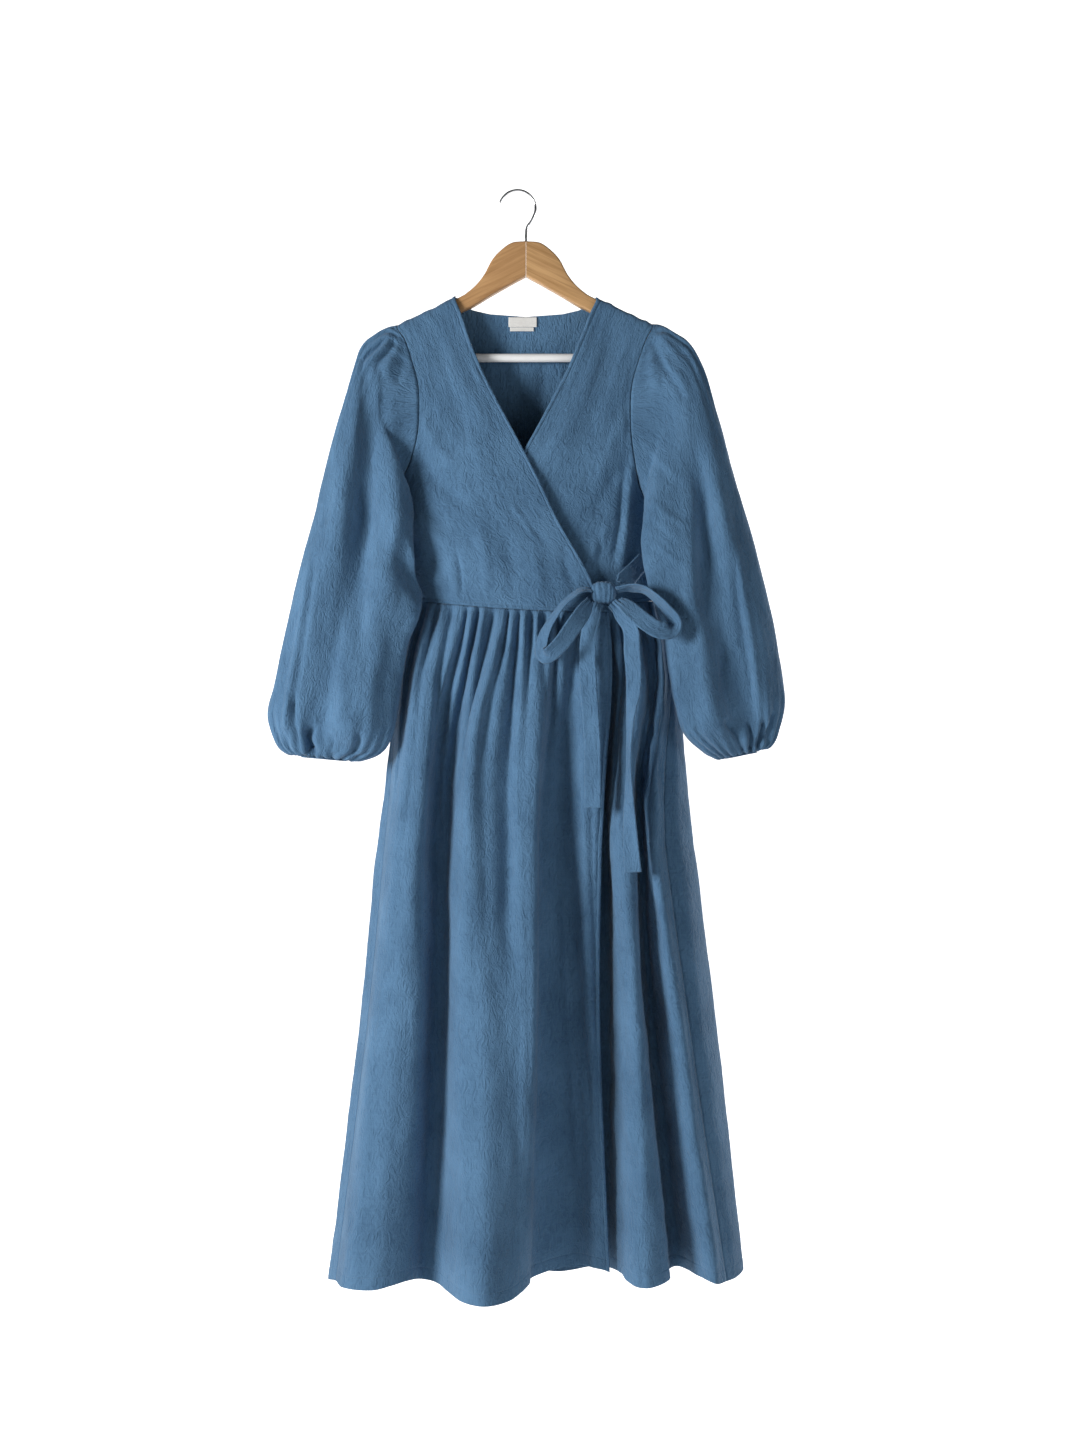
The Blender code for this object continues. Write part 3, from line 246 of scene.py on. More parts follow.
RIGHT_RINGS = [
    ("cap", 190.5, -1.0, -178.0, 184.0, -3.0, -434.0, 20.0, 20.0, 11.0, 0.0),
    ("crown", 206.5, -2.0, -187.0, 187.0, -8.0, -450.0, 22.0, 20.0, 13.0, 8.0),
    ("arm_end", 226.5, -4.0, -202.5, 187.0, -14.0, -466.0, 23.0, 20.0, 12.0, 13.0),
    ("upper", 242.8, -8.0, -234.7, 182.0, -21.0, -483.0, 24.0, 19.0, 10.0, 12.0),
    ("mid_upper", 258.4, -10.0, -286.4, 180.0, -28.0, -503.0, 25.0, 20.0, 6.0, 8.0),
    ("above_elbow", 271.1, -14.0, -331.7, 182.5, -34.0, -525.0, 26.0, 21.0, 2.0, 4.0),
    ("elbow", 287.6, -18.0, -393.9, 192.1, -37.0, -567.9, 27.0, 22.0, 0.0, 0.0),
    ("below_elbow", 313.3, -22.0, -488.6, 198.6, -40.0, -613.3, 28.0, 22.0, 0.0, 0.0),
    ("forearm", 331.1, -26.0, -563.3, 204.0, -44.0, -652.3, 29.0, 22.0, 0.0, 0.0),
    ("balloon", 345.1, -28.0, -644.3, 212.0, -48.0, -696.4, 29.0, 22.0, 0.0, 0.0),
    ("balloon_low", 347.7, -28.0, -678.0, 221.0, -46.0, -718.5, 27.0, 21.0, 0.0, 0.0),
    ("turn", 340.0, -28.0, -710.0, 241.0, -40.0, -737.0, 24.0, 19.0, 0.0, 0.0),
    ("under_turn", 332.0, -30.0, -728.0, 253.0, -35.0, -744.0, 21.0, 16.0, 0.0, 0.0),
    ("inner_turn", 323.0, -31.0, -734.0, 263.0, -33.0, -747.0, 16.0, 12.0, 0.0, 0.0),
    ("cuff_seam", 314.0, -31.0, -725.0, 268.0, -32.0, -733.0, 13.0, 9.0, 0.0, 0.0),
]
RING_ROUND = 0.65
CUFF_RINGS = 4
CUFF_TOP = 3.0
CUFF_HEIGHT = 18.0
CUFF_INSET = 2.2
CUFF_BITE = 0.86
# Columns: name, turn, half width, depth at the cap, the elbow and the balloon
SLEEVE_FOLDS = [
    ("outer_ridge", 52.0, 16.0, 1.0, 5.0, 6.0),
    ("front_groove", 84.0, 16.0, 0.0, -7.0, -9.0),
    ("inner_ridge", 116.0, 18.0, 0.0, 6.0, 7.0),
    ("back_ridge", 240.0, 22.0, 0.0, 4.0, 6.0),
    ("back_groove", 280.0, 20.0, 0.0, -4.0, -6.0),
]

# How far the inner edge of each sleeve rests in against the body, and how far the front of
# the sleeve laps over the bodice's side.
# Columns: ring row, rest, lap
INNER_REST = {
    "left": [(0, 0.0, 0.0), (1, 0.0, 5.0), (2, 0.0, 12.0), (3, 0.0, 16.0), (4, 3.0, 17.0),
             (5, 8.0, 14.0), (6, 9.0, 8.0), (7, 5.0, 2.0), (9, 4.0, 0.0), (10, 4.0, 0.0),
             (12, 0.0, 0.0)],
    "right": [(0, 0.0, 0.0), (1, 0.0, 4.0), (2, 2.0, 10.0), (3, 4.0, 14.0), (4, 7.0, 14.0),
              (5, 10.0, 10.0), (6, 11.0, 5.0), (7, 8.0, 0.0), (8, 5.0, 0.0), (10, 4.0, 0.0),
              (12, 0.0, 0.0)],
}

# Ties: centre line and turn of the flat strip, 0 facing the viewer and 90 edge on.
# Columns: name, x, y, z, turn
LOOP_LEFT = [
    ("knot", 95.1, -55.1, -530.0, 60.0), ("out", 79.6, -59.1, -533.0, 68.0),
    ("upper", 56.6, -63.1, -553.0, 70.0), ("far", 38.6, -64.1, -581.0, 58.0),
    ("bend", 31.6, -68.1, -606.0, 44.0), ("turn", 38.6, -79.1, -616.0, 34.0),
    ("lower", 54.6, -85.1, -603.0, 22.0), ("near", 72.6, -82.1, -578.0, 16.0),
    ("back", 87.6, -73.1, -556.0, 22.0), ("knot_low", 94.1, -65.1, -546.0, 34.0),
]
LOOP_RIGHT = [
    ("knot", 128.0, -54.8, -530.4, 60.0), ("out", 146.5, -58.8, -527.9, 66.0),
    ("upper", 166.5, -64.8, -532.4, 70.0), ("far", 188.5, -68.8, -552.4, 62.0),
    ("bend", 200.5, -71.8, -570.4, 44.0), ("turn", 196.5, -79.8, -583.4, 12.0),
    ("lower", 178.5, -83.8, -582.4, 4.0), ("near", 156.5, -80.8, -567.4, 10.0),
    ("back", 139.5, -72.8, -551.4, 22.0), ("knot_low", 129.5, -64.8, -544.4, 34.0),
]
TAIL_LEFT = [
    ("knot", 104.0, -56.4, -547.3, 10.0), ("drop", 96.0, -62.4, -569.8, 6.0),
    ("upper", 91.0, -64.4, -609.8, 2.0), ("middle", 93.0, -66.4, -665.8, -4.0),
    ("lower", 97.0, -68.4, -729.8, 0.0), ("end", 97.5, -72.4, -809.8, 3.0),
]
TAIL_RIGHT = [
    ("knot", 122.0, -55.8, -547.0, 12.0), ("drop", 134.0, -61.8, -560.5, 18.0),
    ("bend", 146.0, -64.8, -581.5, 24.0), ("upper", 148.0, -66.8, -609.5, 14.0),
    ("fall", 150.0, -68.8, -651.5, 26.0), ("twist", 145.0, -71.8, -701.5, 62.0),
    ("edge_on", 143.0, -74.8, -757.5, 70.0), ("open", 144.0, -78.8, -827.5, 40.0),
    ("end", 148.0, -81.8, -891.5, 6.0),
]
STRAP = [
    ("knot", 124.8, -50.4, -522.4, 8.0), ("rise", 135.3, -38.4, -511.4, 16.0),
    ("side", 147.3, -25.4, -499.4, 26.0), ("seam", 158.8, -16.4, -488.4, 32.0),
]
KNOT_CENTRE = (111.5, -53.1, -533.5)
KNOT_HALF = (16.5, 9.2, 14.5)
KNOT_SQUARE = 0.72
KNOT_SHRINK = 0.97

# Labels inside the back neck: left, right, gap below the neck edge, height
LABEL_MAIN = ("label_main", -12.0, 25.5, 0.8, 13.0)
LABEL_SIZE = ("label_size", -10.0, 21.5, 14.2, 5.2)
LABEL_WALL = 0.7
LABEL_STANDOFF = 0.5

# Creases, listed one by one, all in millimetres on the front view: the two ends of each soft ridge
# or trough, its half width, and its height, which is negative for a trough.
# Columns: name, x and z of one end, x and z of the other, half width, height
BODICE_OVER_CREASES = [
    ("dart", -77.5, -478.0, -71.0, -538.0, 1.8, -1.6),
    ("dart_side", -84.0, -486.0, -80.0, -536.0, 6.0, 0.7),
    ("shoulder_drape", -112.0, -190.0, -66.0, -330.0, 15.0, -1.4),
    ("chest_drape", -92.0, -210.0, -30.0, -380.0, 17.0, 1.6),
    ("armhole_pull_a", -128.0, -300.0, -84.0, -372.0, 9.0, 1.3),
    ("armhole_pull_b", -134.0, -350.0, -70.0, -424.0, 10.0, -1.4),
    ("side_pull_a", -158.0, -418.0, -84.0, -470.0, 9.0, 1.5),
    ("side_pull_b", -152.0, -450.0, -96.0, -505.0, 7.0, -1.2),
    ("bust_crease", -6.0, -420.0, 22.0, -458.0, 2.2, 1.1),
    ("bust_crease_low", 4.0, -436.0, 40.0, -470.0, 2.0, -0.9),
    ("mid_drop_a", -46.0, -440.0, -38.0, -530.0, 9.0, 1.2),
    ("mid_drop_b", -10.0, -455.0, -4.0, -535.0, 10.0, -1.3),
    ("mid_drop_c", 24.0, -470.0, 30.0, -540.0, 8.0, 1.1),
    ("crossing_drop", 58.0, -470.0, 74.0, -530.0, 6.0, -1.0),
]
BODICE_UNDER_CREASES = [
    ("shoulder_drape", 128.0, -190.0, 84.0, -320.0, 13.0, -1.4),
    ("chest_drape", 108.0, -210.0, 52.0, -360.0, 15.0, 1.5),
    ("armhole_pull_a", 142.0, -300.0, 104.0, -380.0, 9.0, 1.3),
    ("armhole_pull_b", 150.0, -350.0, 96.0, -430.0, 9.0, -1.3),
    ("side_band", 152.0, -362.0, 134.0, -500.0, 6.0, 2.4),
    ("side_band_groove", 142.0, -372.0, 126.0, -490.0, 3.5, -1.6),
    ("dart", 94.5, -476.0, 94.5, -498.0, 1.6, -1.3),
    ("waist_pull_a", 120.0, -440.0, 88.0, -500.0, 5.0, 1.2),
    ("waist_pull_b", 108.0, -455.0, 104.0, -512.0, 4.0, -1.1),
]
SLEEVE_LEFT_CREASES = [
    ("head_pocket", -147.5, -223.0, -156.0, -256.0, 4.2, -5.2),
    ("head_ridge_a", -152.5, -200.0, -173.0, -250.0, 5.0, 2.4),
    ("head_groove_a", -160.0, -198.0, -186.0, -242.0, 3.6, -2.6),
    ("head_ridge_b", -167.0, -198.0, -199.0, -236.0, 4.6, 2.0),
    ("head_groove_b", -173.0, -200.0, -208.0, -232.0, 3.4, -1.8),
    ("seam_pocket", -138.0, -240.0, -140.0, -284.0, 4.0, -3.6),
    ("front_fall", -158.0, -262.0, -160.0, -560.0, 13.0, 3.0),
    ("front_hollow", -196.0, -240.0, -200.0, -620.0, 13.0, -5.2),
    ("outer_fall", -224.0, -320.0, -240.0, -640.0, 13.0, 2.4),
    ("under_pull", -142.0, -430.0, -182.0, -520.0, 9.0, 1.8),
    ("outer_line_a", -268.0, -497.0, -300.0, -722.0, 4.0, 2.2),
    ("outer_line_a_side", -262.0, -505.0, -292.0, -718.0, 4.0, -1.6),
    ("outer_line_b", -290.0, -655.0, -281.0, -730.0, 3.5, -2.0),
    ("balloon_fall_a", -216.0, -560.0, -226.0, -716.0, 10.0, 2.4),
    ("balloon_fall_b", -176.0, -600.0, -190.0, -730.0, 10.0, 2.2),
    ("cuff_notch", -266.0, -746.0, -267.0, -706.0, 7.0, -9.0),
    ("cuff_gather_a", -240.0, -746.0, -236.0, -716.0, 4.5, -3.0),
    ("cuff_gather_b", -208.0, -746.0, -202.0, -714.0, 5.0, -2.6),
]
SLEEVE_RIGHT_CREASES = [
    ("head_pocket", 164.0, -206.0, 172.0, -226.0, 4.0, -5.0),
    ("head_ridge_a", 176.0, -190.0, 212.0, -214.0, 4.6, 2.4),
    ("head_groove_a", 172.0, -198.0, 201.0, -250.0, 3.8, -3.0),
    ("head_groove_a_low", 201.0, -250.0, 219.0, -282.0, 4.4, -2.6),
    ("head_ridge_b", 170.0, -214.0, 184.0, -262.0, 5.0, 2.4),
    ("head_groove_b", 165.0, -222.0, 168.0, -262.0, 3.6, -2.2),
    ("front_fall", 214.0, -236.0, 228.0, -540.0, 12.0, 2.8),
    ("front_hollow", 238.0, -360.0, 246.0, -590.0, 11.0, -4.4),
    ("outer_fall", 262.0, -400.0, 280.0, -600.0, 10.0, 2.2),
    ("cross_a", 160.0, -330.0, 205.0, -380.0, 3.0, 1.3),
    ("cross_b", 166.0, -352.0, 214.0, -402.0, 3.0, -1.2),
    ("cross_c", 170.0, -414.0, 216.0, -448.0, 3.2, 1.5),
    ("cross_d", 168.0, -438.0, 208.0, -474.0, 3.0, -1.2),
    ("cross_e", 176.0, -470.0, 214.0, -500.0, 3.4, 1.4),
    ("outer_line", 286.0, -492.0, 313.0, -688.0, 4.0, 2.4),
    ("outer_line_side", 279.0, -500.0, 303.0, -684.0, 4.0, -1.8),
    ("balloon_fall_a", 236.0, -560.0, 246.0, -704.0, 9.0, 2.4),
    ("balloon_fall_b", 262.0, -600.0, 276.0, -716.0, 7.0, -2.6),
    ("cuff_gather_a", 293.0, -742.0, 270.0, -698.0, 4.0, -5.0),
    ("cuff_gather_b", 302.0, -742.0, 298.0, -700.0, 3.4, -5.0),
    ("cuff_gather_c", 311.0, -736.0, 318.0, -700.0, 3.6, -5.0),
    ("cuff_gather_d", 320.0, -724.0, 332.0, -690.0, 3.6, -3.6),
]
SKIRT_OVER_CREASES = [
    ("a_fall", -114.0, -640.0, -134.0, -1000.0, 10.0, 2.2),
    ("a_hollow", -96.0, -650.0, -112.0, -900.0, 8.0, -3.0),
    ("b_fall", -58.0, -620.0, -66.0, -1100.0, 10.0, 2.0),
    ("b_hollow", -38.0, -640.0, -42.0, -1000.0, 8.0, -1.8),
    ("b_side_hollow", -14.0, -820.0, -8.0, -1010.0, 9.0, -2.2),
    ("hem_fall_a", -184.0, -1130.0, -206.0, -1400.0, 9.0, 2.0),
    ("hem_fall_b", -68.0, -1130.0, -64.0, -1410.0, 8.0, 2.0),
    ("hem_fall_c", 6.0, -1080.0, -4.0, -1390.0, 9.0, -1.6),
    ("c_fall_a", 58.0, -900.0, 78.0, -1300.0, 6.0, 2.0),
    ("c_fall_b", 74.0, -980.0, 104.0, -1300.0, 5.0, -1.8),
    ("c_fall_c", 88.0, -700.0, 90.0, -1050.0, 6.0, 1.8),
    ("edge_sway", 96.0, -820.0, 104.0, -1120.0, 4.0, -1.6),
]
SKIRT_UNDER_CREASES = [
    ("d_fall", 136.0, -640.0, 160.0, -1160.0, 6.0, 2.0),
    ("d_hollow", 150.0, -660.0, 176.0, -1120.0, 4.0, -2.2),
    ("e_fall", 172.0, -700.0, 228.0, -1220.0, 6.0, 2.2),
    ("e_line", 182.0, -740.0, 268.0, -1370.0, 3.2, -4.6),
    ("f_fall", 206.0, -780.0, 282.0, -1340.0, 7.0, 2.4),
    ("gap_hollow", 112.0, -640.0, 117.0, -1380.0, 6.0, -4.0),
    ("crush_a", 160.0, -620.0, 176.0, -900.0, 3.0, 1.6),
    ("crush_b", 168.0, -600.0, 188.0, -860.0, 2.6, -1.6),
    ("crush_c", 150.0, -600.0, 160.0, -820.0, 2.6, 1.5),
]
# Creases of the back, seen from the front
BACK_SEAM = [
    ("centre_seam", 3.1, -176.0, 3.1, -540.0, 1.6, 1.1),
    ("seam_edge", -14.1, -176.0, -14.1, -330.0, 1.2, 0.9),
]
BACK_CREASES = [
    ("inner_fold_a", 34.0, -190.0, 30.0, -330.0, 7.0, 1.2),
    ("inner_fold_b", -40.0, -200.0, -34.0, -340.0, 8.0, -1.2),
    ("inner_fold_c", 58.0, -200.0, 52.0, -330.0, 7.0, -1.1),
    ("shoulder_left", -104.0, -200.0, -58.0, -360.0, 14.0, 1.4),
    ("shoulder_right", 124.0, -200.0, 78.0, -360.0, 14.0, 1.4),
    ("side_left_a", -150.0, -420.0, -70.0, -470.0, 10.0, 1.5),
    ("side_left_b", -140.0, -470.0, -84.0, -520.0, 8.0, -1.3),
    ("side_right_a", 168.0, -430.0, 92.0, -478.0, 10.0, 1.5),
    ("side_right_b", 162.0, -478.0, 104.0, -524.0, 8.0, -1.3),
    ("waist_a", -30.0, -440.0, -26.0, -535.0, 8.0, 1.2),
    ("waist_b", 46.0, -450.0, 44.0, -535.0, 8.0, 1.2),
]
SKIRT_BACK_CREASES = [
    ("back_fall_a", -128.0, -620.0, -172.0, -1200.0, 8.0, 2.0),
    ("back_fall_b", -60.0, -640.0, -86.0, -1100.0, 7.0, -2.0),
    ("back_fall_c", 2.0, -610.0, 6.0, -1250.0, 8.0, 2.0),
    ("back_fall_d", 62.0, -640.0, 84.0, -1120.0, 7.0, -2.0),
    ("back_fall_e", 130.0, -620.0, 178.0, -1240.0, 8.0, 2.0),
    ("back_fall_f", 176.0, -700.0, 240.0, -1330.0, 6.0, -2.2),
]
# Folds in the front of the knot.
# Columns: name, x and z of one end, x and z of the other, half width, height
KNOT_CREASES = [
    ("wrap_left", 100.5, -522.0, 102.5, -546.0, 1.5, -1.6),
    ("wrap_middle", 107.5, -520.0, 110.5, -547.0, 1.3, -1.3),
    ("wrap_right", 117.0, -520.0, 116.0, -547.0, 1.5, -1.5),
    ("wrap_edge", 122.5, -523.0, 120.5, -544.0, 1.2, -1.2),
    ("crossing", 98.0, -537.0, 124.0, -528.0, 2.6, 0.9),
]

# Cut sizes of the cloth in metres: width, length, and flat area where it isn't a rectangle.
SLEEVE_CUT = (0.420, 0.540, 0.185)

# Crinkles of the washed cloth: size across and down the cloth and height, in millimetres
CRINKLE_SWAY = (60.0, 60.0, 5.0)
CRINKLE_WIDE = (19.0, 52.0, 0.85)
CRINKLE_MIDDLE = (9.5, 25.0, 0.30)
CRINKLE_FINE = (6.5, 13.0, 0.09)
CRINKLE_CRUSHED = (8.0, 17.0, 0.15)
CRUSH_SWAY = (70.0, 90.0, 6.0)
CRUSH_LONG = (9.0, 85.0, 1.3)
CRUSH_SMALL = (5.0, 38.0, 0.5)
TIE_SMALL = (7.0, 16.0, 0.35)
TIE_FINE = (4.0, 8.0, 0.25)
# Cupping across a tie: its length along the tie and its height
TIE_CUP = (45.0, 0.5)
# Strength of the crinkles and of the creases on each kind of panel
FRONT_CRINKLE, FRONT_CREASE = 1.3, 2.0
SKIRT_CRINKLE, SKIRT_CREASE = 1.2, 1.5
WAIST_CRINKLE = 0.35
SLEEVE_CRINKLE, SLEEVE_CREASE = 1.35, 1.5
# The sleeve's creases come again behind, moved by these and shallower
BEHIND_TOP, BEHIND_LOW = (9.0, 14.0), (6.0, 22.0)
BEHIND_DEPTH = 0.7
# Gathers round a sleeve: how many, how deep, and how unevenly they stand
HEAD_GATHERS, HEAD_DEPTH, HEAD_DRIFT = 26.0, 1.5, 0.8
CUFF_GATHERS, CUFF_DEPTH, CUFF_DRIFT = 22.0, 1.7, 1.1
CUFF_RIBS, CUFF_RIB_DEPTH = 60.0, 0.35
SLEEVE_LEAST_STEP = 9.0
# Ties where the knot grips them: share of the length, narrowing, pleat depth and pleats
GRIP_SHARE, GRIP_NARROWS = 0.16, 0.36
PLEAT_DEPTH, PLEATS = 1.1, 2.6
# Grid columns and rows of the pieces
FRONT_GRID = (78, 112)
BACK_GRID = (170, 112)
SLEEVE_GRID = (150, 168)
SKIRT_ROWS = 208
CUFF_ROWS = 16
TIE_COLUMNS = 13
LABEL_COLUMNS, LABEL_ROWS, FOLDED_ROWS = 38, 18, 30
KNOT_GRID = (72, 48)

# Surface noises of the cloth: bumps for each millimetre, detail and distortion
SURFACE = [
    ("crush", (0.14, 0.062, 0.14), 2.0, 1.1), ("crumple", (0.36, 0.2, 0.36), 2.0, 0.8),
    ("grain", (1.1, 0.8, 1.1), 3.0, 0.0), ("warp", (1.5, 0.035, 1.5), 2.0, 0.0),
    ("weft", (0.03, 1.6, 0.03), 1.0, 0.0), ("washed", (0.018, 0.012, 0.018), 3.0, 0.0),
]
# What each adds to the shade, and then to the height in millimetres. The crush noise also raises
# the crinkle ridges, so its share of the shade is a painted highlight on them; the other noises
# give the cloth's own uneven tone.
# Columns: noise, its range, the range that it gives
SHADES = [
    ("washed", 0.3, 0.7, 0.38, 0.70), ("warp", 0.25, 0.75, -0.11, 0.11),
    ("weft", 0.25, 0.75, -0.08, 0.08), ("crush", 0.0, 1.0, -0.06, 0.09),
    ("grain", 0.3, 0.7, -0.07, 0.07),
]
CRUSH_HEIGHT = (0.1, 1.0, 0.0, 0.62)
HEIGHTS = [
    ("crumple", 0.1, 1.0, 0.0, 0.26), ("grain", 0.3, 0.7, 0.0, 0.06),
    ("warp", 0.3, 0.7, 0.0, 0.05),
]

# Washed cotton of the dress, in linear colour: the light and dark ends of its tone. The light end
# also carries the painted highlight on the crinkle ridges.
CLOTH_LIT = (0.109, 0.229, 0.380, 1.0)
CLOTH_DEEP = (0.026, 0.073, 0.143, 1.0)
THREAD = (0.125, 0.235, 0.375, 1.0)
LABEL_WHITE = (0.80, 0.79, 0.76, 1.0)

# Studio, in metres: floor, wall and sweep, and what lights it
FLOOR_Z = -1.80
WALL_Y = 5.0
SWEEP_RADIUS = 1.6
STAGE_HALF = 6.0
STAGE_FRONT = -5.0
STAGE_TOP = 4.5
SWEEP_STEPS = 16
# White that the camera sees on the stage, and its glow between two depths
STAGE_SEEN = 0.95
STAGE_GLOW = (-0.1, 0.45, 0.05, 0.75)
# The middle of the dress, which every light faces
AIM = (0.0, 0.0, -0.8)
# Strength of the surroundings as light, and as the camera sees them
AIR_LIGHT, AIR_SEEN = 0.06, 1.12


def mix(start, end, share):
    """Value at a share of the way from start to end."""
    return start + (end - start) * share


def smooth(value):
    """0 below 0, 1 above 1, and a soft step between."""
    clipped = np.clip(value, 0.0, 1.0)
    return clipped * clipped * (3.0 - 2.0 * clipped)


def reach(value, power):
    """How far a section has come to its full depth at a share of its width."""
    return 1.0 - np.clip(1.0 - value, 0.0, 1.0) ** power


def loft(rows, places):
    """Points on the smooth curve through the stacked rows, at places counted in rows."""
    rows = np.asarray(rows, dtype=float)
    places = np.asarray(places, dtype=float)
    ends = (2.0 * rows[:1] - rows[1:2], 2.0 * rows[-1:] - rows[-2:-1])
    held = np.concatenate([ends[0], rows, ends[1]])
    index = np.clip(np.floor(places).astype(int), 0, len(rows) - 2)
    t = places - index
    if places.ndim == 1:
        t = t.reshape(t.shape + (1,) * (rows.ndim - 1))
        a, b, c, d = (held[index + step] for step in range(4))
    else:
        down = np.arange(places.shape[0])[:, None]
        over = np.arange(places.shape[1])[None, :]
        if rows.shape[1] == 1:
            down = np.zeros_like(down)
        a, b, c, d = (held[index + step, down, over] for step in range(4))
        t = t[..., None]
    bend = (2.0 * a - 5.0 * b + 4.0 * c - d) * t ** 2
    turn = (3.0 * b - a - 3.0 * c + d) * t ** 3
    return 0.5 * (2.0 * b + (c - a) * t + bend + turn)


def rough(x, y, seed):
    """Smooth random heights from -1 to 1 over flat cloth, one bump for each unit."""
    size = 97
    heights = np.random.default_rng(seed).uniform(-1.0, 1.0, (size, size))
    left = np.floor(x).astype(int)
    low = np.floor(y).astype(int)
    u = smooth(x - left)
    v = smooth(y - low)
    bottom = mix(heights[left % size, low % size], heights[(left + 1) % size, low % size], u)
    top = mix(heights[left % size, (low + 1) % size],
              heights[(left + 1) % size, (low + 1) % size], u)
    return mix(bottom, top, v)


def bumps(u, v, kind, seed):
    """Random heights of one kind, given as size across, size down and height."""
    across, down, height = kind
    return height * rough(u / across, v / down, seed)


def cloth_lengths(points):
    """Distance across and down the cloth at each point, in millimetres."""
    across = np.linalg.norm(np.diff(points, axis=1), axis=2).mean(axis=0)
    down = np.linalg.norm(np.diff(points, axis=0), axis=2).mean(axis=1)
    across = np.concatenate([[0.0], np.cumsum(across)])
    down = np.concatenate([[0.0], np.cumsum(down)])
    return np.meshgrid(across, down)


def outward(points, closed=False):
    """Unit normals of the cloth, away from the body's middle."""
    if closed:
        joined = np.concatenate([points[:, -2:-1], points, points[:, 1:2]], axis=1)
        over = (joined[:, 2:] - joined[:, :-2])
    else:
        over = np.gradient(points, axis=1)
    down = np.gradient(points, axis=0)
    normal = np.cross(over, down)
    length = np.linalg.norm(normal, axis=2, keepdims=True)
    return normal / np.maximum(length, 1e-9)


def crinkle(points, seed, strength=1.0):
    """Heights of the washed cloth's own crinkles, long in the way that it hangs."""
    u, v = cloth_lengths(points)
    sway = bumps(u, v, CRINKLE_SWAY, seed + 5)
    wide = bumps(u + sway, v, CRINKLE_WIDE, seed)
    middle = bumps(u + sway, v + sway, CRINKLE_MIDDLE, seed + 1)
    small = bumps(u - sway, v + u * 0.4, CRINKLE_FINE, seed + 2)
    crushed = CRINKLE_CRUSHED[2] - 2.0 * np.abs(
        bumps(u + sway, v - u * 0.3, CRINKLE_CRUSHED, seed + 3))
    return strength * (wide + middle + small + crushed)


def creased(points, creases, front_only=None, strength=1.0):
    """Heights of the listed creases at each point, seen from the front."""
    x = points[..., 0]
    z = points[..., 2]
    height = np.zeros(x.shape)
    for name, x0, z0, x1, z1, width, rise in creases:
        run = (x1 - x0, z1 - z0)
        length = math.hypot(*run)
        along = ((x - x0) * run[0] + (z - z0) * run[1]) / length ** 2
        aside = ((x - x0) * run[1] - (z - z0) * run[0]) / length
        wander = 0.25 * width * np.sin(7.0 * along + len(name))
        fade = smooth((along + 0.12) / 0.3) * smooth((1.12 - along) / 0.3)
        height += strength * rise * fade * np.exp(-((aside + wander) / width) ** 2)
    if front_only is not None:
        height = height * front_only
    return height


def finished(name, form, sharp=None):
    """A smooth mesh from a form that is freed, with edges over an angle left sharp."""
    mesh = bpy.data.meshes.new(name)
    form.to_mesh(mesh)
    form.free()
    mesh.shade_smooth()
    if sharp is not None:
        mesh.set_sharp_from_angle(angle=math.radians(sharp))
    return mesh


def cloth_mesh(name, points, material, wall=CLOTH_WALL, closed=False):
    """A cloth piece: a grid moved onto the points, unrolled for its weave, and thickened."""
    rows, columns = points.shape[0] - 1, points.shape[1] - 1
    u, v = cloth_lengths(points)
    grid = bmesh.new()
    bmesh.ops.create_grid(grid, x_segments=columns, y_segments=rows, size=0.5)
    unrolled = grid.loops.layers.uv.new("cloth")
    for vert in grid.verts:
        column = round((vert.co.x + 0.5) * columns)
        row = round((0.5 - vert.co.y) * rows)
        vert.co = points[row, column] * MM
        flat = (u[row, column] * MM, -v[row, column] * MM)
        for corner in vert.link_loops:
            corner[unrolled].uv = flat
    if closed:
        bmesh.ops.remove_doubles(grid, verts=grid.verts, dist=0.02 * MM)
    bmesh.ops.recalc_face_normals(grid, faces=grid.faces)
    made = add_piece(name + "_cloth", finished(name, grid), material)
    thicken = made.modifiers.new("cloth_wall", "SOLIDIFY")
    thicken.thickness = wall * MM
    thicken.offset = 0.0
    return made


def add_piece(name, data, material):
    """Link a finished mesh or curve as a piece that rides on the dress's one body."""
    data.materials.append(material)
    made = bpy.data.objects.new(name, data)
    bpy.context.scene.collection.objects.link(made)
    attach(made, "root")
    return made


def fine(count):
    return max(3, round(count * DETAIL))


def shoulder_z(x):
    """Height of the shoulder seam, which lies over the sloping arm."""
    return ARM_START_Z - (np.abs(x - CENTRE_X) - ARM_START) * ARM_SLOPE + CLOTH_OVER_WOOD


def rolled_edge(distance):
    """Height of a narrow stitched hem at a distance from the cloth's edge."""
    roll = 0.75 * smooth(distance / 0.8) * smooth((4.6 - distance) / 1.2)
    return roll - 0.45 * np.exp(-((distance - 4.3) / 0.55) ** 2)


def front_panel(sections, shoulder_x, neck_x, columns, rows):
    """Points of a crossing front, the distance from its neck edge, and from its waist."""
    place = np.concatenate([np.linspace(0.0, WAIST_ROW - 0.16, rows),
                            WAIST_ROW - np.array([0.145, 0.13, 0.115, 0.1, 0.07, 0.035, 0.0])])
    edge = [(neck_x,)] * len(SHOULDER_ROWS) + [(row[4],) for row in sections]
    side = [(shoulder_x,)] * len(SHOULDER_ROWS) + [(row[1],) for row in sections]
    width = np.abs(loft(edge, place) - loft(side, place))
    even = np.linspace(1.0, 0.0, columns, endpoint=False)[None, :]
    body = EDGE_LINES[0] + even * (width - EDGE_LINES[0])
    close = np.repeat(EDGE_LINES[None, :], len(place), axis=0)
    distance = np.concatenate([body[:, :-1], close], axis=1)
    across = 1.0 - distance / width
    points = loft(front_rows(sections, shoulder_x, neck_x, across),
                  np.repeat(place[:, None], across.shape[1], axis=1))
    points[-1, :, 2] += SEAM_HALF
    to_waist = points[..., 2] - points[-1:, :, 2]
    return points, distance, to_waist


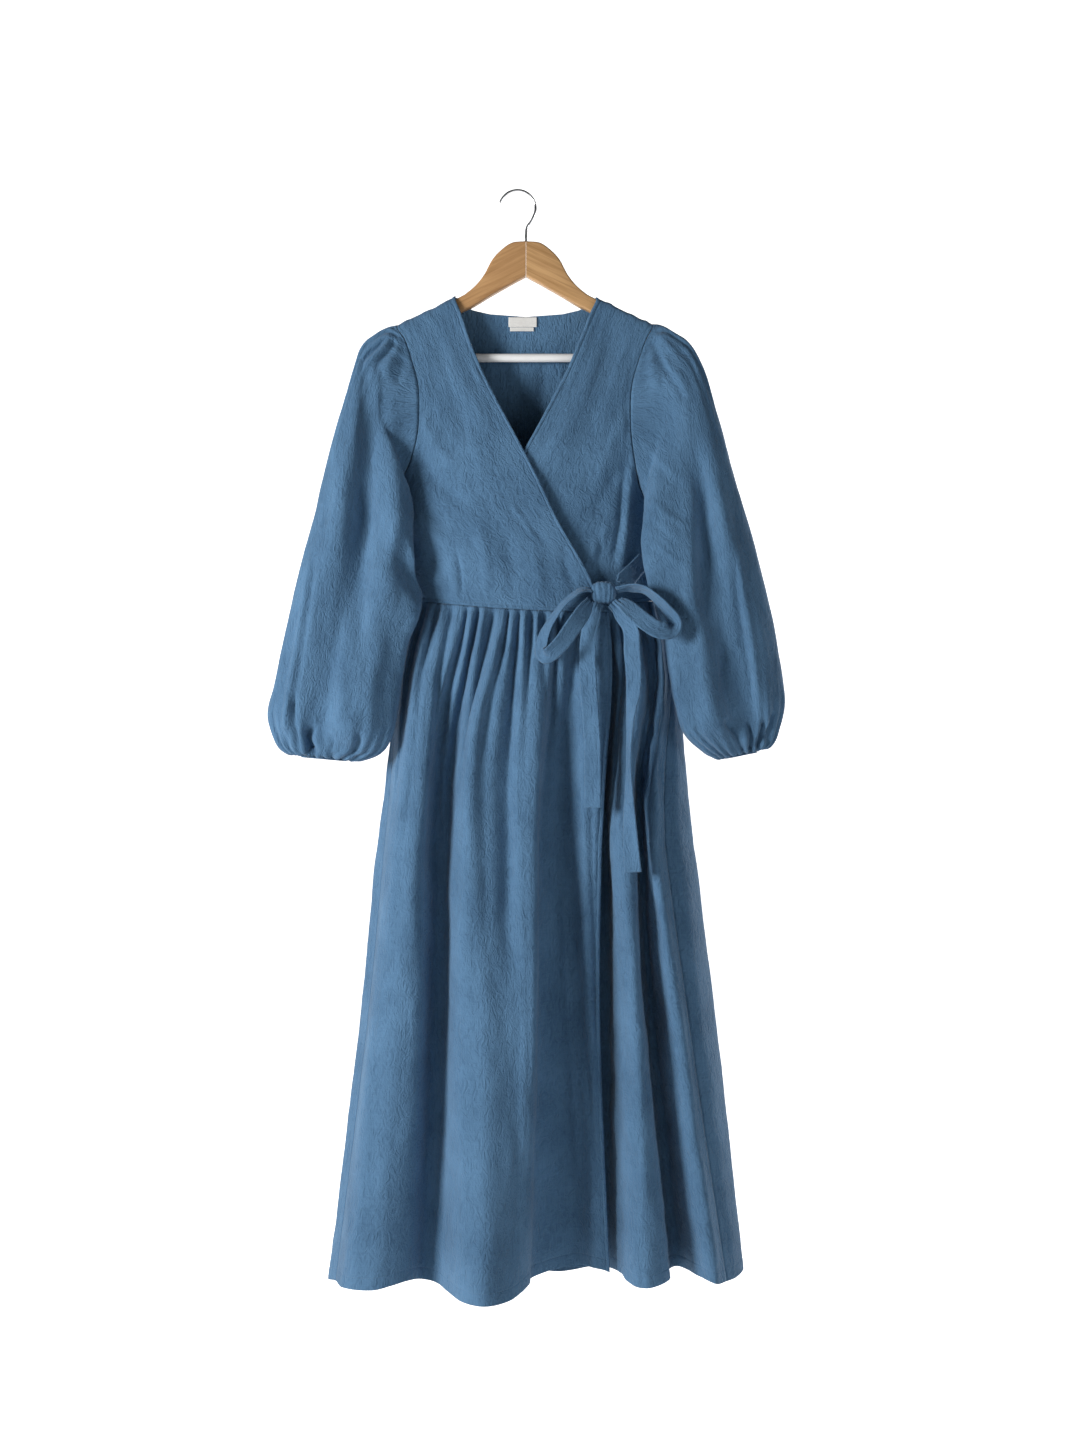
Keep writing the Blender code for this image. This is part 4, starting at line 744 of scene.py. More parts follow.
def front_rows(sections, shoulder_x, neck_x, across):
    """The stacked rows of a front at each share of its width, from side to neck edge."""
    rows = []
    top_x = mix(shoulder_x, neck_x, across)
    for name, depth, drop in SHOULDER_ROWS:
        rows.append(np.stack([top_x, np.full_like(top_x, -depth), shoulder_z(top_x) - drop], -1))
    for name, side_x, side_y, side_z, edge_x, edge_y, edge_z, full in sections:
        y = mix(side_y, edge_y, reach(across, full))
        z = mix(side_z, edge_z, reach(across, 1.0 + (full - 1.0) * EDGE_FALL))
        rows.append(np.stack([mix(side_x, edge_x, across), y, z], -1))
    return np.array(rows)


def back_rows(across):
    """The stacked rows of the back at each share of its width, from left to right."""
    top_x = mix(SHOULDER_LEFT_X, SHOULDER_RIGHT_X, across)
    away = np.abs(top_x - CENTRE_X)
    corner = (NECK_POINT, SHOULDER_ROWS[0][1], shoulder_z(CENTRE_X + NECK_POINT))
    line = np.array(NECK_LINE + [corner])
    on_shoulder = away >= NECK_POINT
    top_y = np.where(on_shoulder, SHOULDER_ROWS[0][1], np.interp(away, line[:, 0], line[:, 1]))
    top_z = np.where(on_shoulder, shoulder_z(top_x), np.interp(away, line[:, 0], line[:, 2]))
    rows = []
    for name, depth, drop in SHOULDER_ROWS:
        rows.append(np.stack([top_x, np.maximum(depth, top_y), top_z - drop], -1))
    level = mix(shoulder_z(SHOULDER_LEFT_X), shoulder_z(SHOULDER_RIGHT_X), across)
    inward = np.minimum(across, 1.0 - across) * 2.0
    for row in BACK:
        left_x, left_y, left_z, right_x, right_y, right_z, mid_y, full, neck = row[1:]
        y = mix(mix(left_y, right_y, across), mid_y, reach(inward, full))
        z = mix(left_z, right_z, across) + (top_z - level) * neck
        rows.append(np.stack([mix(left_x, right_x, across), y, z], -1))
    return np.array(rows)


def facing(points, direction):
    """Unit normals turned to the side that the direction names."""
    normal = outward(points)
    return normal * np.sign(np.sum(normal * direction, axis=2).mean())


def waist_stitching(height):
    """Lift and groove of the topstitched band just above the waist seam."""
    return 0.3 * smooth((5.0 - height) / 1.4) - 0.45 * np.exp(-((height - 5.2) / 0.8) ** 2)


def make_front(name, sections, shoulder_x, neck_x, creases, seed):
    """One crossing front of the bodice, with its rolled neck edge and its stitching."""
    points, distance, to_waist = front_panel(
        sections, shoulder_x, neck_x, *map(fine, FRONT_GRID))
    let_out(points)
    from_side = np.linalg.norm(points - points[:, :1], axis=2)
    near_seam = smooth(from_side / 9.0) * smooth(to_waist / 7.0)
    front = (0.0, -1.0, 0.0)
    normal = facing(points, front)
    height = near_seam * (crinkle(points, seed, FRONT_CRINKLE)
                          + creased(points, creases, strength=FRONT_CREASE))
    height += rolled_edge(distance) + waist_stitching(to_waist)
    points = points + normal * height[..., None]
    panel = cloth_mesh(name, points, washed_cotton)
    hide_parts(name)
    normal = facing(points, front)
    edge_column, waist_row = EDGE_STITCHED, WAIST_STITCHED
    sewn = [stitches(name + "_neck_stitches", points[:, edge_column], normal[:, edge_column]),
            stitches(name + "_waist_stitches", points[waist_row], normal[waist_row])]
    return panel


def make_back():
    """The back of the bodice, with the centre seam that shows inside the neck."""
    rows = np.concatenate([np.linspace(0.0, WAIST_ROW - 0.16, fine(BACK_GRID[1])),
                           WAIST_ROW - np.array([0.14, 0.115, 0.09, 0.05, 0.0])])
    across = np.repeat(np.linspace(0.0, 1.0, fine(BACK_GRID[0]))[None, :], len(rows), axis=0)
    points = loft(back_rows(across), np.repeat(rows[:, None], across.shape[1], axis=1))
    points[-1, :, 2] += SEAM_HALF
    let_out(points)
    to_waist = points[..., 2] - points[-1:, :, 2]
    from_side = np.minimum(across, 1.0 - across) * (SHOULDER_RIGHT_X - SHOULDER_LEFT_X)
    down = rows[:, None] * np.ones_like(across)
    loose = smooth(from_side / 12.0) * smooth(to_waist / 8.0) * smooth((down - 2.0) / 1.5)
    height = loose * (crinkle(points, 31) + creased(points, BACK_CREASES))
    height += waist_stitching(to_waist) + creased(points, BACK_SEAM)
    height += 0.6 * smooth((1.0 - down) / 0.5) * (np.abs(points[..., 0] - CENTRE_X) < NECK_POINT)
    behind = (0.0, 1.0, 0.0)
    points = points + facing(points, behind) * height[..., None]
    panel = cloth_mesh("back_bodice", points, washed_cotton)
    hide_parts("back_bodice")
    normal = facing(points, behind)
    sewn = [stitches("back_waist_stitches", points[WAIST_STITCHED], normal[WAIST_STITCHED])]


def let_out(points):
    """Let the sides out where they rest behind the sleeves."""
    heights, left, right = (np.array(column) for column in zip(*SIDE_SWELL))
    from_middle = points[..., 0] - CENTRE_X
    at_side = smooth((np.abs(from_middle) - 70.0) / 60.0)
    chosen = np.where(from_middle > 0.0, np.interp(-points[..., 2], -heights, right),
                      -np.interp(-points[..., 2], -heights, left))
    points[..., 0] += chosen * at_side


def skirt_panel(start, end, waist_at, density, free_edge=False):
    """Points of a skirt panel between two folds, with its place in steps and its fall."""
    counts = np.array([FOLDS[index][2] for index in range(start, end)], dtype=float)
    summed = np.concatenate([[0.0], np.cumsum(counts)])
    step = np.linspace(0.0, summed[-1], fine(summed[-1] * density) + 1)
    if free_edge:
        step = np.concatenate([FREE_EDGE_STEPS, step[step > FREE_EDGE_END]])
    place = np.interp(step, summed, np.arange(start, end + 1))
    numbers = np.arange(len(FOLDS))
    waist_x = np.interp(place, numbers, [fold[1] for fold in FOLDS])
    share = (waist_x - waist_x[0]) / (waist_x[-1] - waist_x[0])
    waist = waist_at(share) - np.array([0.0, 0.0, SEAM_HALF])
    room = end - start
    place = start + SEAM_SHIFT + (place - start) * (room - 2.0 * SEAM_SHIFT) / room
    shape = loft([fold[3:] for fold in FOLDS], place)
    hip = np.stack([shape[:, 0], shape[:, 1], np.full(len(place), HIP_Z)], -1)
    knee = np.stack([shape[:, 2], shape[:, 3], np.full(len(place), KNEE_Z)], -1)
    levels = np.stack([waist, hip, knee, shape[:, 4:7]])
    even = np.linspace(0.0, 1.0 - (HEM_LINES[0] + 3.0) / PANEL_LENGTH, fine(SKIRT_ROWS))
    fall = np.concatenate([even ** ROW_POWER, 1.0 - HEM_LINES / PANEL_LENGTH])
    z = mix(waist[None, :, 2], shape[None, :, 6], fall[:, None])
    top = np.where(z >= HIP_Z, levels[0][:, 2], np.where(z >= KNEE_Z, HIP_Z, KNEE_Z))
    low = np.where(z >= HIP_Z, HIP_Z, np.where(z >= KNEE_Z, KNEE_Z, levels[3][:, 2]))
    index = np.where(z >= HIP_Z, 0, np.where(z >= KNEE_Z, 1, 2))
    points = loft(levels[:, None], index + np.clip((top - z) / (top - low), 0.0, 1.0))
    let_out(points)
    return points, step, fall


def gathers(step, fall, seed, strength=1.0):
    """Depth of the waist gathers, uneven in depth and in how far down they run."""
    cycle = step[None, :] / STEPS_PER_GATHER
    depth = 1.0 + 0.7 * rough(cycle * 1.1, seed + 0.5 + 0.0 * cycle, seed)
    length = 1.05 + 0.75 * rough(cycle * 1.3, seed + 2.5 + 0.0 * cycle, seed + 1)
    shares, depths = zip(*GATHER_FALL)
    fallen = np.interp(fall[:, None] / length, shares, depths)
    drift = 0.34 * rough(cycle * 0.7, fall[:, None] * 5.0, seed + 2)
    wave = np.cos(2.0 * math.pi * (cycle + drift))
    crest = 1.15 * (1.0 - 2.0 * np.sqrt(np.maximum(0.0, (1.0 - wave) / 2.0)) ** 1.6)
    small = np.cos(2.0 * math.pi * (cycle * 2.0 + 0.2 + drift))
    to_seam = np.minimum(step, step[-1] - step)[None, :]
    near_waist = smooth((0.075 - fall[:, None]) / 0.06) * smooth(fall[:, None] / 0.012)
    return strength * np.minimum(1.0, to_seam / 3.0) * (fallen * depth * crest
                                                         + 0.9 * near_waist * small)


def hem_form(points, fall, seed):
    """Height of the stitched hem: its groove and the small puckers that stitching draws."""
    u = cloth_lengths(points)[0]
    above = (1.0 - fall[:, None]) * PANEL_LENGTH
    groove = -0.5 * np.exp(-((above - HEM_DEPTH) / 0.7) ** 2)
    pucker = np.sin(2.0 * math.pi * (u / 10.5 + 0.6 * rough(u / 30.0, u * 0.0 + 3.0, seed)))
    return groove + 0.3 * pucker * np.exp(-((above - HEM_DEPTH * 0.75) / 8.0) ** 2)


def long_crush(points, seed):
    """Long sharp crinkles down the right side, where the cloth was bound and dried."""
    u, v = cloth_lengths(points)
    sway = bumps(u, v, CRUSH_SWAY, seed)
    lines = CRUSH_LONG[2] - 2.2 * np.abs(bumps(u + sway, v, CRUSH_LONG, seed + 1))
    small = bumps(u - sway, v, CRUSH_SMALL, seed + 2)
    at_right = smooth((points[..., 0] - 140.0 - 0.02 * v) / 24.0)
    return at_right * smooth((1300.0 + points[..., 2]) / 400.0) * (lines + small)


def make_skirt_panel(name, span, waist_at, density, creases, seed, free_edge=False,
                     crush=1.0, direction=(0.0, -1.0, 0.0)):
    """A gathered skirt panel with its folds, gathers, creases and stitched hem."""
    points, step, fall = skirt_panel(*span, waist_at, density, free_edge)
    points[..., 1] += gathers(step, fall, seed)
    normal = facing(points, direction)
    from_seam = np.minimum(step, step[-1] - step)[None, :]
    near_seam = smooth(from_seam / 1.6) * smooth(fall[:, None] / 0.02)
    at_waist = smooth((0.2 - fall[:, None]) / 0.2)
    strength = crush * (SKIRT_CRINKLE + WAIST_CRINKLE * at_waist)
    height = near_seam * (strength * crinkle(points, seed)
                          + creased(points, creases, strength=SKIRT_CREASE))
    if crush > 1.0:
        height += near_seam * long_crush(points, seed + 7)
    height += smooth(from_seam / 0.5) * hem_form(points, fall, seed)
    if free_edge:
        height += rolled_edge(np.linalg.norm(points - points[:, :1], axis=2))
    points = points + normal * height[..., None]
    panel = cloth_mesh(name, points, washed_cotton)
    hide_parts(name)
    normal = facing(points, direction)
    hem_row = len(fall) - len(HEM_LINES) + HEM_STITCHED
    sewn = [stitches(name + "_hem_stitches", points[hem_row], normal[hem_row])]
    if free_edge:
        sewn.append(stitches(name + "_edge_stitches", points[:, FREE_EDGE_STITCHED],
                             normal[:, FREE_EDGE_STITCHED]))


def over_waist(share):
    """Waist line of the over front, from its free edge to the left seam."""
    return front_rows(FRONT_OVER, SHOULDER_LEFT_X, NECK_LEFT_X, 1.0 - share)[-1]


def back_waist(share):
    """Waist line of the back, from left to right."""
    return back_rows(share)[-1]


def under_waist(share):
    """Waist line of the under front, from the right seam to its hidden edge."""
    return front_rows(FRONT_UNDER, SHOULDER_RIGHT_X, NECK_RIGHT_X, share)[-1]


def armhole(front_side, back_side, turn, inward):
    """Points just outside the armhole at each turn from the shoulder, forward first."""
    points = np.zeros((len(turn), 3))
    for forward, side in ((True, front_side), (False, back_side)):
        line = loft(side[:UNDERARM_ROW + 1], np.linspace(0.0, UNDERARM_ROW, 90))
        length = np.concatenate([[0.0], np.cumsum(np.linalg.norm(np.diff(line, axis=0), axis=1))])
        share = turn / 180.0 if forward else (360.0 - turn) / 180.0
        chosen = (turn <= 180.0) == forward
        for axis in range(3):
            found = np.interp(share * length[-1], length, line[:, axis])
            points[chosen, axis] = found[chosen]
    low = (np.minimum(turn, 360.0 - turn) / 180.0) ** UNDERARM_POWER
    points[:, 0] -= inward * (ARMHOLE_GAP + UNDERARM_GAP * low)
    points[:, 2] -= UNDERARM_GAP * low
    return points


def ring_line(ring, turn, inward, way_down):
    """Points round one ring of a sleeve, with its long folds where way_down is given."""
    out_x, out_y, out_z, in_x, in_y, in_z, front, back, lean, draw = ring[1:]
    angle = np.radians(turn)
    share = (1.0 - np.cos(angle)) / 2.0
    side = np.sin(angle)
    swell = np.zeros_like(turn)
    if way_down is not None:
        for name, centre, width, cap, elbow, balloon in SLEEVE_FOLDS:
            depth = np.interp(way_down, [0.0, 0.5, 1.0], [cap, elbow, balloon])
            swell += depth * np.exp(-((turn - centre) / width) ** 2)
    power = np.where((turn > 180.0) & (turn < 270.0), 1.0, RING_ROUND)
    push = (np.where(side > 0.0, front, back) + swell) * np.sign(side) * np.abs(side) ** power
    ahead = np.where((turn > 90.0) & (turn < 180.0), np.sin(2.0 * (math.pi - angle)), 0.0)
    behind = np.where((turn > 180.0) & (turn < 270.0), np.sin(2.0 * (angle - math.pi)), 0.0)
    x = mix(out_x, in_x, share) + (lean * ahead - draw * behind) * inward
    return np.stack([x, mix(out_y, in_y, share) - push, mix(out_z, in_z, share)], -1)


def make_sleeve(side, rings, front_side, back_side, inward, creases, seed, cut):
    """A gathered sleeve that hangs as a balloon, and the cuff drawn up inside it."""
    turn = np.linspace(0.0, 360.0, fine(SLEEVE_GRID[0]) + 1)
    last = len(rings)
    lines = [armhole(front_side, back_side, turn, inward)]
    for row, ring in enumerate(rings, start=1):
        way_down = min((row - 1) / (last - CUFF_RINGS - 1.0), 1.0)
        lines.append(ring_line(ring, turn, inward, way_down if last - row >= CUFF_RINGS else None))
    lines = np.array(lines)
    apart = np.linalg.norm(np.diff(lines, axis=0), axis=2).mean(axis=1)
    summed = np.concatenate([[0.0], np.cumsum(np.maximum(apart, SLEEVE_LEAST_STEP))])
    steps = np.linspace(0.0, summed[-1], fine(SLEEVE_GRID[1]))
    place = np.interp(steps, summed, np.arange(last + 1))
    points = loft(lines, place)
    rows, rests, laps = zip(*INNER_REST[side])
    rest = np.interp(place, rows, rests)[:, None] * smooth(1.0 - np.abs(turn - 180.0) / 75.0)
    in_front = np.where((turn > 90.0) & (turn < 180.0),
                        np.sin(np.radians(2.0 * turn - 180.0)), 0.0)
    lap = np.interp(place, rows, laps)[:, None] * in_front
    points[..., 0] += inward * (rest + lap)
    points[..., 1] -= 0.5 * rest + 0.15 * lap
    normal = outward(points, closed=True)
    middle = points.mean(axis=1, keepdims=True)
    normal = normal * np.sign(np.sum(normal * (points - middle), axis=2).mean())
    down = place[:, None]
    from_cap = np.minimum(turn, 360.0 - turn)[None, :]
    low = smooth((from_cap - 118.0) / 40.0)
    at_head = smooth(down / 0.9) * smooth((6.2 - down) / 4.2)
    over_head = smooth((from_cap - 2.0) / 10.0) * smooth((62.0 - from_cap) / 34.0)
    uneven = 1.0 + 0.4 * rough(turn[None, :] / 17.0, down * 0.4, seed)
    round_it = np.radians(turn[None, :])
    drift = HEAD_DRIFT * rough(turn[None, :] / 30.0, down, seed + 3)
    head = np.cos(round_it * HEAD_GATHERS + drift)
    height = HEAD_DEPTH * head * at_head * over_head * uneven
    at_cuff = smooth((down - (last - 5.6)) / 3.2) * smooth((last + 0.35 - down) / 0.6)
    drift = CUFF_DRIFT * rough(turn[None, :] / 24.0, down * 0.7, seed + 4)
    height += CUFF_DEPTH * np.cos(round_it * CUFF_GATHERS + drift) * at_cuff
    in_front = smooth(-normal[..., 1] / 0.35)
    loose = smooth(down / 1.2) * (1.0 - 0.85 * low * smooth((7.0 - down) / 2.0))
    loose = loose * smooth((last - 0.4 - down) / 0.8)
    height += loose * (SLEEVE_CRINKLE * crinkle(points, seed)
                       + creased(points, creases, in_front, SLEEVE_CREASE))
    behind = 1.0 - smooth((0.35 - normal[..., 1]) / 0.5)
    height += loose * creased(points, [
        (label, x0 + BEHIND_TOP[0], z0 + BEHIND_TOP[1], x1 + BEHIND_LOW[0], z1 + BEHIND_LOW[1],
         width, rise * BEHIND_DEPTH)
        for label, x0, z0, x1, z1, width, rise in creases], behind)
    points = points + normal * height[..., None]
    points[:, -1] = points[:, 0]
    name = "sleeve_" + side
    sleeve = cloth_mesh(name, points, washed_cotton, closed=True)
    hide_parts(name)
    make_cuff(side, rings[-1], turn, inward)


def make_cuff(side, ring, turn, inward):
    """The narrow gathered cuff that is drawn up inside the balloon."""
    line = ring_line(ring, turn, inward, None)
    middle = np.array([(ring[1] + ring[4]) / 2.0, (ring[2] + ring[5]) / 2.0])
    offset = line[:, :2] - middle
    radius = np.linalg.norm(offset, axis=1)
    down = np.linspace(0.0, 1.0, fine(CUFF_ROWS))
    points = np.zeros((len(down), len(turn), 3))
    for row, share in enumerate(down):
        bite = mix(1.0, CUFF_BITE, math.sin(math.pi * share))
        ribbed = CUFF_RIB_DEPTH * np.cos(np.radians(turn) * CUFF_RIBS)
        scale = ((radius - CUFF_INSET) * bite + ribbed) / radius
        points[row, :, :2] = middle + offset * scale[:, None]
        points[row, :, 2] = line[:, 2] + CUFF_TOP - CUFF_HEIGHT * share
    points[:, -1] = points[:, 0]
    name = "cuff_" + side
    cuff = cloth_mesh(name, points, washed_cotton, closed=True)
    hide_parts(name)


def strip_points(rows, length, pinched, seed, tilt):
    """Points of a tie along its centre line, narrow and pleated where the knot grips it."""
    values = np.array([row[1:] for row in rows])
    place = np.linspace(0.0, len(rows) - 1.0, length)
    centre = loft(values, place)
    path = np.gradient(centre[:, :3], axis=0)
    path /= np.linalg.norm(path, axis=1, keepdims=True)
    face_on = np.cross(path, (0.0, 1.0, 0.0))
    face_on /= np.linalg.norm(face_on, axis=1, keepdims=True)
    edge_on = np.cross(path, face_on)
    share = np.linspace(0.0, 1.0, length)[:, None]
    angle = np.radians(centre[:, 3])[:, None] + math.radians(tilt) * smooth(share / 0.3)
    direction = face_on * np.cos(angle) + edge_on * np.sin(angle)
    normal = np.cross(direction, path)
    grip = smooth((GRIP_SHARE - share) / 0.14)
    if pinched == "both":
        grip = np.maximum(grip, smooth((share - 1.0 + GRIP_SHARE) / 0.14))
    across = np.linspace(-1.0, 1.0, TIE_COLUMNS)[None, :]
    half = STRIP_WIDTH / 2.0 * (1.0 - GRIP_NARROWS * grip)
    pleat = grip * PLEAT_DEPTH * np.cos(across * PLEATS * math.pi)
    u = across * STRIP_WIDTH / 2.0
    v = share * 40.0 * len(rows)
    cup = TIE_CUP[1] * (across ** 2 - 0.4) * rough(v / TIE_CUP[0], v * 0.0 + 1.5, seed)
    small = bumps(u, v, TIE_SMALL, seed + 1) + bumps(u, v, TIE_FINE, seed + 2)
    seam = -0.6 * np.exp(-((np.abs(across) - 0.83) / 0.08) ** 2)
    aside = direction[:, None] * (across * half)[..., None]
    lift = normal[:, None] * (pleat + cup + small + seam)[..., None]
    return centre[:, None, :3] + aside + lift


def make_tie(name, rows, length, seed, pinched="start", tilt=0.0):
    """A flat tie: a loop, a hanging tail or the strap."""
    points = strip_points(rows, fine(length), pinched, seed, tilt)
    if name == "tie_strap":
        let_out(points)
    tie = cloth_mesh(name, points, washed_cotton, wall=STRIP_WALL)
    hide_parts(name)


def make_knot():
    """The tight knot, squared off, with the folds of the tie wound round it."""
    knot = bmesh.new()
    bmesh.ops.create_uvsphere(knot, u_segments=fine(KNOT_GRID[0]),
                              v_segments=fine(KNOT_GRID[1]), radius=1.0)
    for vert in knot.verts:
        place = []
        for axis in range(3):
            value = vert.co[axis]
            squared = math.copysign(abs(value) ** KNOT_SQUARE, value) if value else 0.0
            place.append(KNOT_CENTRE[axis] + squared * KNOT_HALF[axis] * KNOT_SHRINK)
        front = max(0.0, -vert.co.y)
        fold = float(creased(np.array([[place]]), KNOT_CREASES)[0, 0]) * front
        wound = 0.45 * math.sin(place[0] * 1.1 + place[2] * 0.12) * (1.0 - front)
        place[1] -= fold
        vert.co = Vector(place) * MM + vert.co.normalized() * wound * MM
    bmesh.ops.recalc_face_normals(knot, faces=knot.faces)
    made = add_piece("tie_knot_cloth", finished("tie_knot", knot), knot_cotton)
    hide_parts("tie_knot")


def make_label(label, curl, wall, folded=False):
    """A bare woven label on the inside of the back, just below the neck edge."""
    name, left, right, below, height = label
    x = np.linspace(left, right, fine(LABEL_COLUMNS))
    along = np.linspace(0.0, 2.0 if folded else 1.0, fine(FOLDED_ROWS if folded else LABEL_ROWS))
    share = np.where(along > 1.0, 2.0 - along, along)
    layer = np.cos(math.pi * smooth((along - 0.9) / 0.2)) if folded else -np.ones_like(along)
    width = SHOULDER_RIGHT_X - SHOULDER_LEFT_X
    fall = loft(back_rows((x - SHOULDER_LEFT_X) / width), np.linspace(0.0, 5.0, 60))
    points = np.zeros((len(along), len(x), 3))
    for column, place in enumerate(x):
        z = NECK_LINE[0][2] - below - height * share
        y = np.interp(-z, -fall[:, column, 2], fall[:, column, 1])
        lift = curl * share ** 2 * (1.0 + 0.5 * math.sin(place * 0.21 + 1.0))
        standoff = (CLOTH_WALL + LABEL_WALL) / 2.0 + LABEL_STANDOFF
        away = y - standoff - lift - layer * wall * 0.6 * folded
        points[:, column] = np.stack([np.full_like(y, place), away, z], -1)
    made = cloth_mesh(name, points, label_tape, wall=wall)
    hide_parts(name)


def stitches(name, line, normal):
    """A run of stitches along a line on the cloth's outer face, as one joined mesh."""
    spans = np.linalg.norm(np.diff(line, axis=0), axis=1)
    length = np.concatenate([[0.0], np.cumsum(spans)])
    starts = np.arange(STITCH_PITCH, length[-1] - STITCH_PITCH, STITCH_PITCH / DETAIL)
    run = bmesh.new()
    for start in starts:
        ends = [Vector([np.interp(at, length, line[:, axis]) for axis in range(3)])
                for at in (start, start + STITCH_LENGTH)]
        up = Vector([np.interp(start, length, normal[:, axis]) for axis in range(3)]).normalized()
        along = (ends[1] - ends[0]).normalized()
        aside = along.cross(up).normalized()
        up = aside.cross(along)
        turned = Matrix((along, aside, up)).transposed().to_4x4()
        middle = (ends[0] + ends[1]) / 2.0 + up * (CLOTH_WALL / 2.0 + 0.06)
        sized = Matrix.Diagonal((STITCH_LENGTH / 2.0, STITCH_WIDTH / 2.0, STITCH_WIDTH / 2.6, 1.0))
        placed = Matrix.Translation(middle) @ turned @ sized
        bmesh.ops.create_uvsphere(run, u_segments=6, v_segments=4, radius=1.0, matrix=placed)
    bmesh.ops.scale(run, vec=(MM, MM, MM), verts=run.verts)
    return add_piece(name, finished(name, run), sewing_thread)


def make_arm(name, side, material):
    """One half of the wooden hanger, cut from board and rounded over on both faces."""
    steps = (len(ARM_OUTLINE) - 1) * 4
    outline = loft(ARM_OUTLINE, np.linspace(0.0, len(ARM_OUTLINE) - 1.0, steps + 1))
    arm = bmesh.new()
    ring = []
    for away, height in outline:
        place = Vector((CENTRE_X + side * away, -WOOD_THICK / 2.0, height)) * MM
        ring.append(arm.verts.new(place))
    face = arm.faces.new(ring)
    grown = bmesh.ops.extrude_face_region(arm, geom=[face])
    moved = [item for item in grown["geom"] if isinstance(item, bmesh.types.BMVert)]
    bmesh.ops.translate(arm, verts=moved, vec=Vector((0.0, WOOD_THICK * MM, 0.0)))
    joint_x = (CENTRE_X + side * ARM_OUTLINE[0][0]) * MM
    rounded = []
    for edge in arm.edges:
        flat = abs(edge.verts[0].co.y - edge.verts[1].co.y) < 0.1 * MM
        at_joint = all(abs(vert.co.x - joint_x) < 0.1 * MM for vert in edge.verts)
        if flat and not at_joint:
            rounded.append(edge)
    bmesh.ops.bevel(arm, geom=rounded, offset=WOOD_EDGE * 0.9 * MM, offset_type="OFFSET",
                    segments=4, profile=0.5, affect="EDGES", material=-1, clamp_overlap=True)
    bmesh.ops.recalc_face_normals(arm, faces=arm.faces)
    made = add_piece(name + "_wood", finished(name, arm, sharp=35.0), material)
    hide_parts(name)


def make_hook():
    """The wire hook, on the same route as its solid."""
    centre_z = HOOK_WIRE / 2.0 - HOOK_RADIUS
    angle = np.radians(np.linspace(HOOK_FROM, HOOK_TO, 72))
    arc = np.stack([HOOK_RADIUS * np.cos(angle), centre_z + HOOK_RADIUS * np.sin(angle)], -1)
    stem_rows = np.concatenate([arc[-1:], HOOK_STEM])
    stem = loft(stem_rows, np.linspace(0.0, len(stem_rows) - 1.0, 33))[1:]
    wire = bpy.data.curves.new("hanger_hook", "CURVE")
    wire.dimensions = "3D"
    wire.bevel_depth = HOOK_WIRE / 2.0 * MM
    wire.bevel_resolution = 6
    wire.use_fill_caps = True
    route = np.concatenate([arc, stem])
    run = wire.splines.new("POLY")
    run.points.add(len(route) - 1)
    for number, (place, (x, z)) in enumerate(zip(run.points, route)):
        place.co = (x * MM, 0.0, z * MM, 1.0)
        place.radius = min(1.0, 0.55 + 0.25 * number)
    made = add_piece("hanger_hook_wire", wire, hook_chrome)
    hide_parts("hanger_hook")


def make_bar():
    """The round white bar between the ends of the hanger."""
    bar = bmesh.new()
    bmesh.ops.create_cone(bar, cap_ends=True, cap_tris=False, segments=48,
                          radius1=BAR_RADIUS * MM, radius2=BAR_RADIUS * MM,
                          depth=2.0 * BAR_HALF * MM)
    for vert in bar.verts:
        along = vert.co.z
        vert.co.z = BAR_Z * MM - vert.co.x
        vert.co.x = along + CENTRE_X * MM
    mesh = finished("hanger_bar", bar, sharp=40.0)
    made = add_piece("hanger_bar_round", mesh, bar_white)
    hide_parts("hanger_bar")


# Materials

def new_material(name):
    """A new material, the helper that adds its nodes, and its shader."""
    material = bpy.data.materials.new(name)
    material.use_nodes = True
    shader = material.node_tree.nodes["Principled BSDF"]
    return material, Nodes(material.node_tree), shader


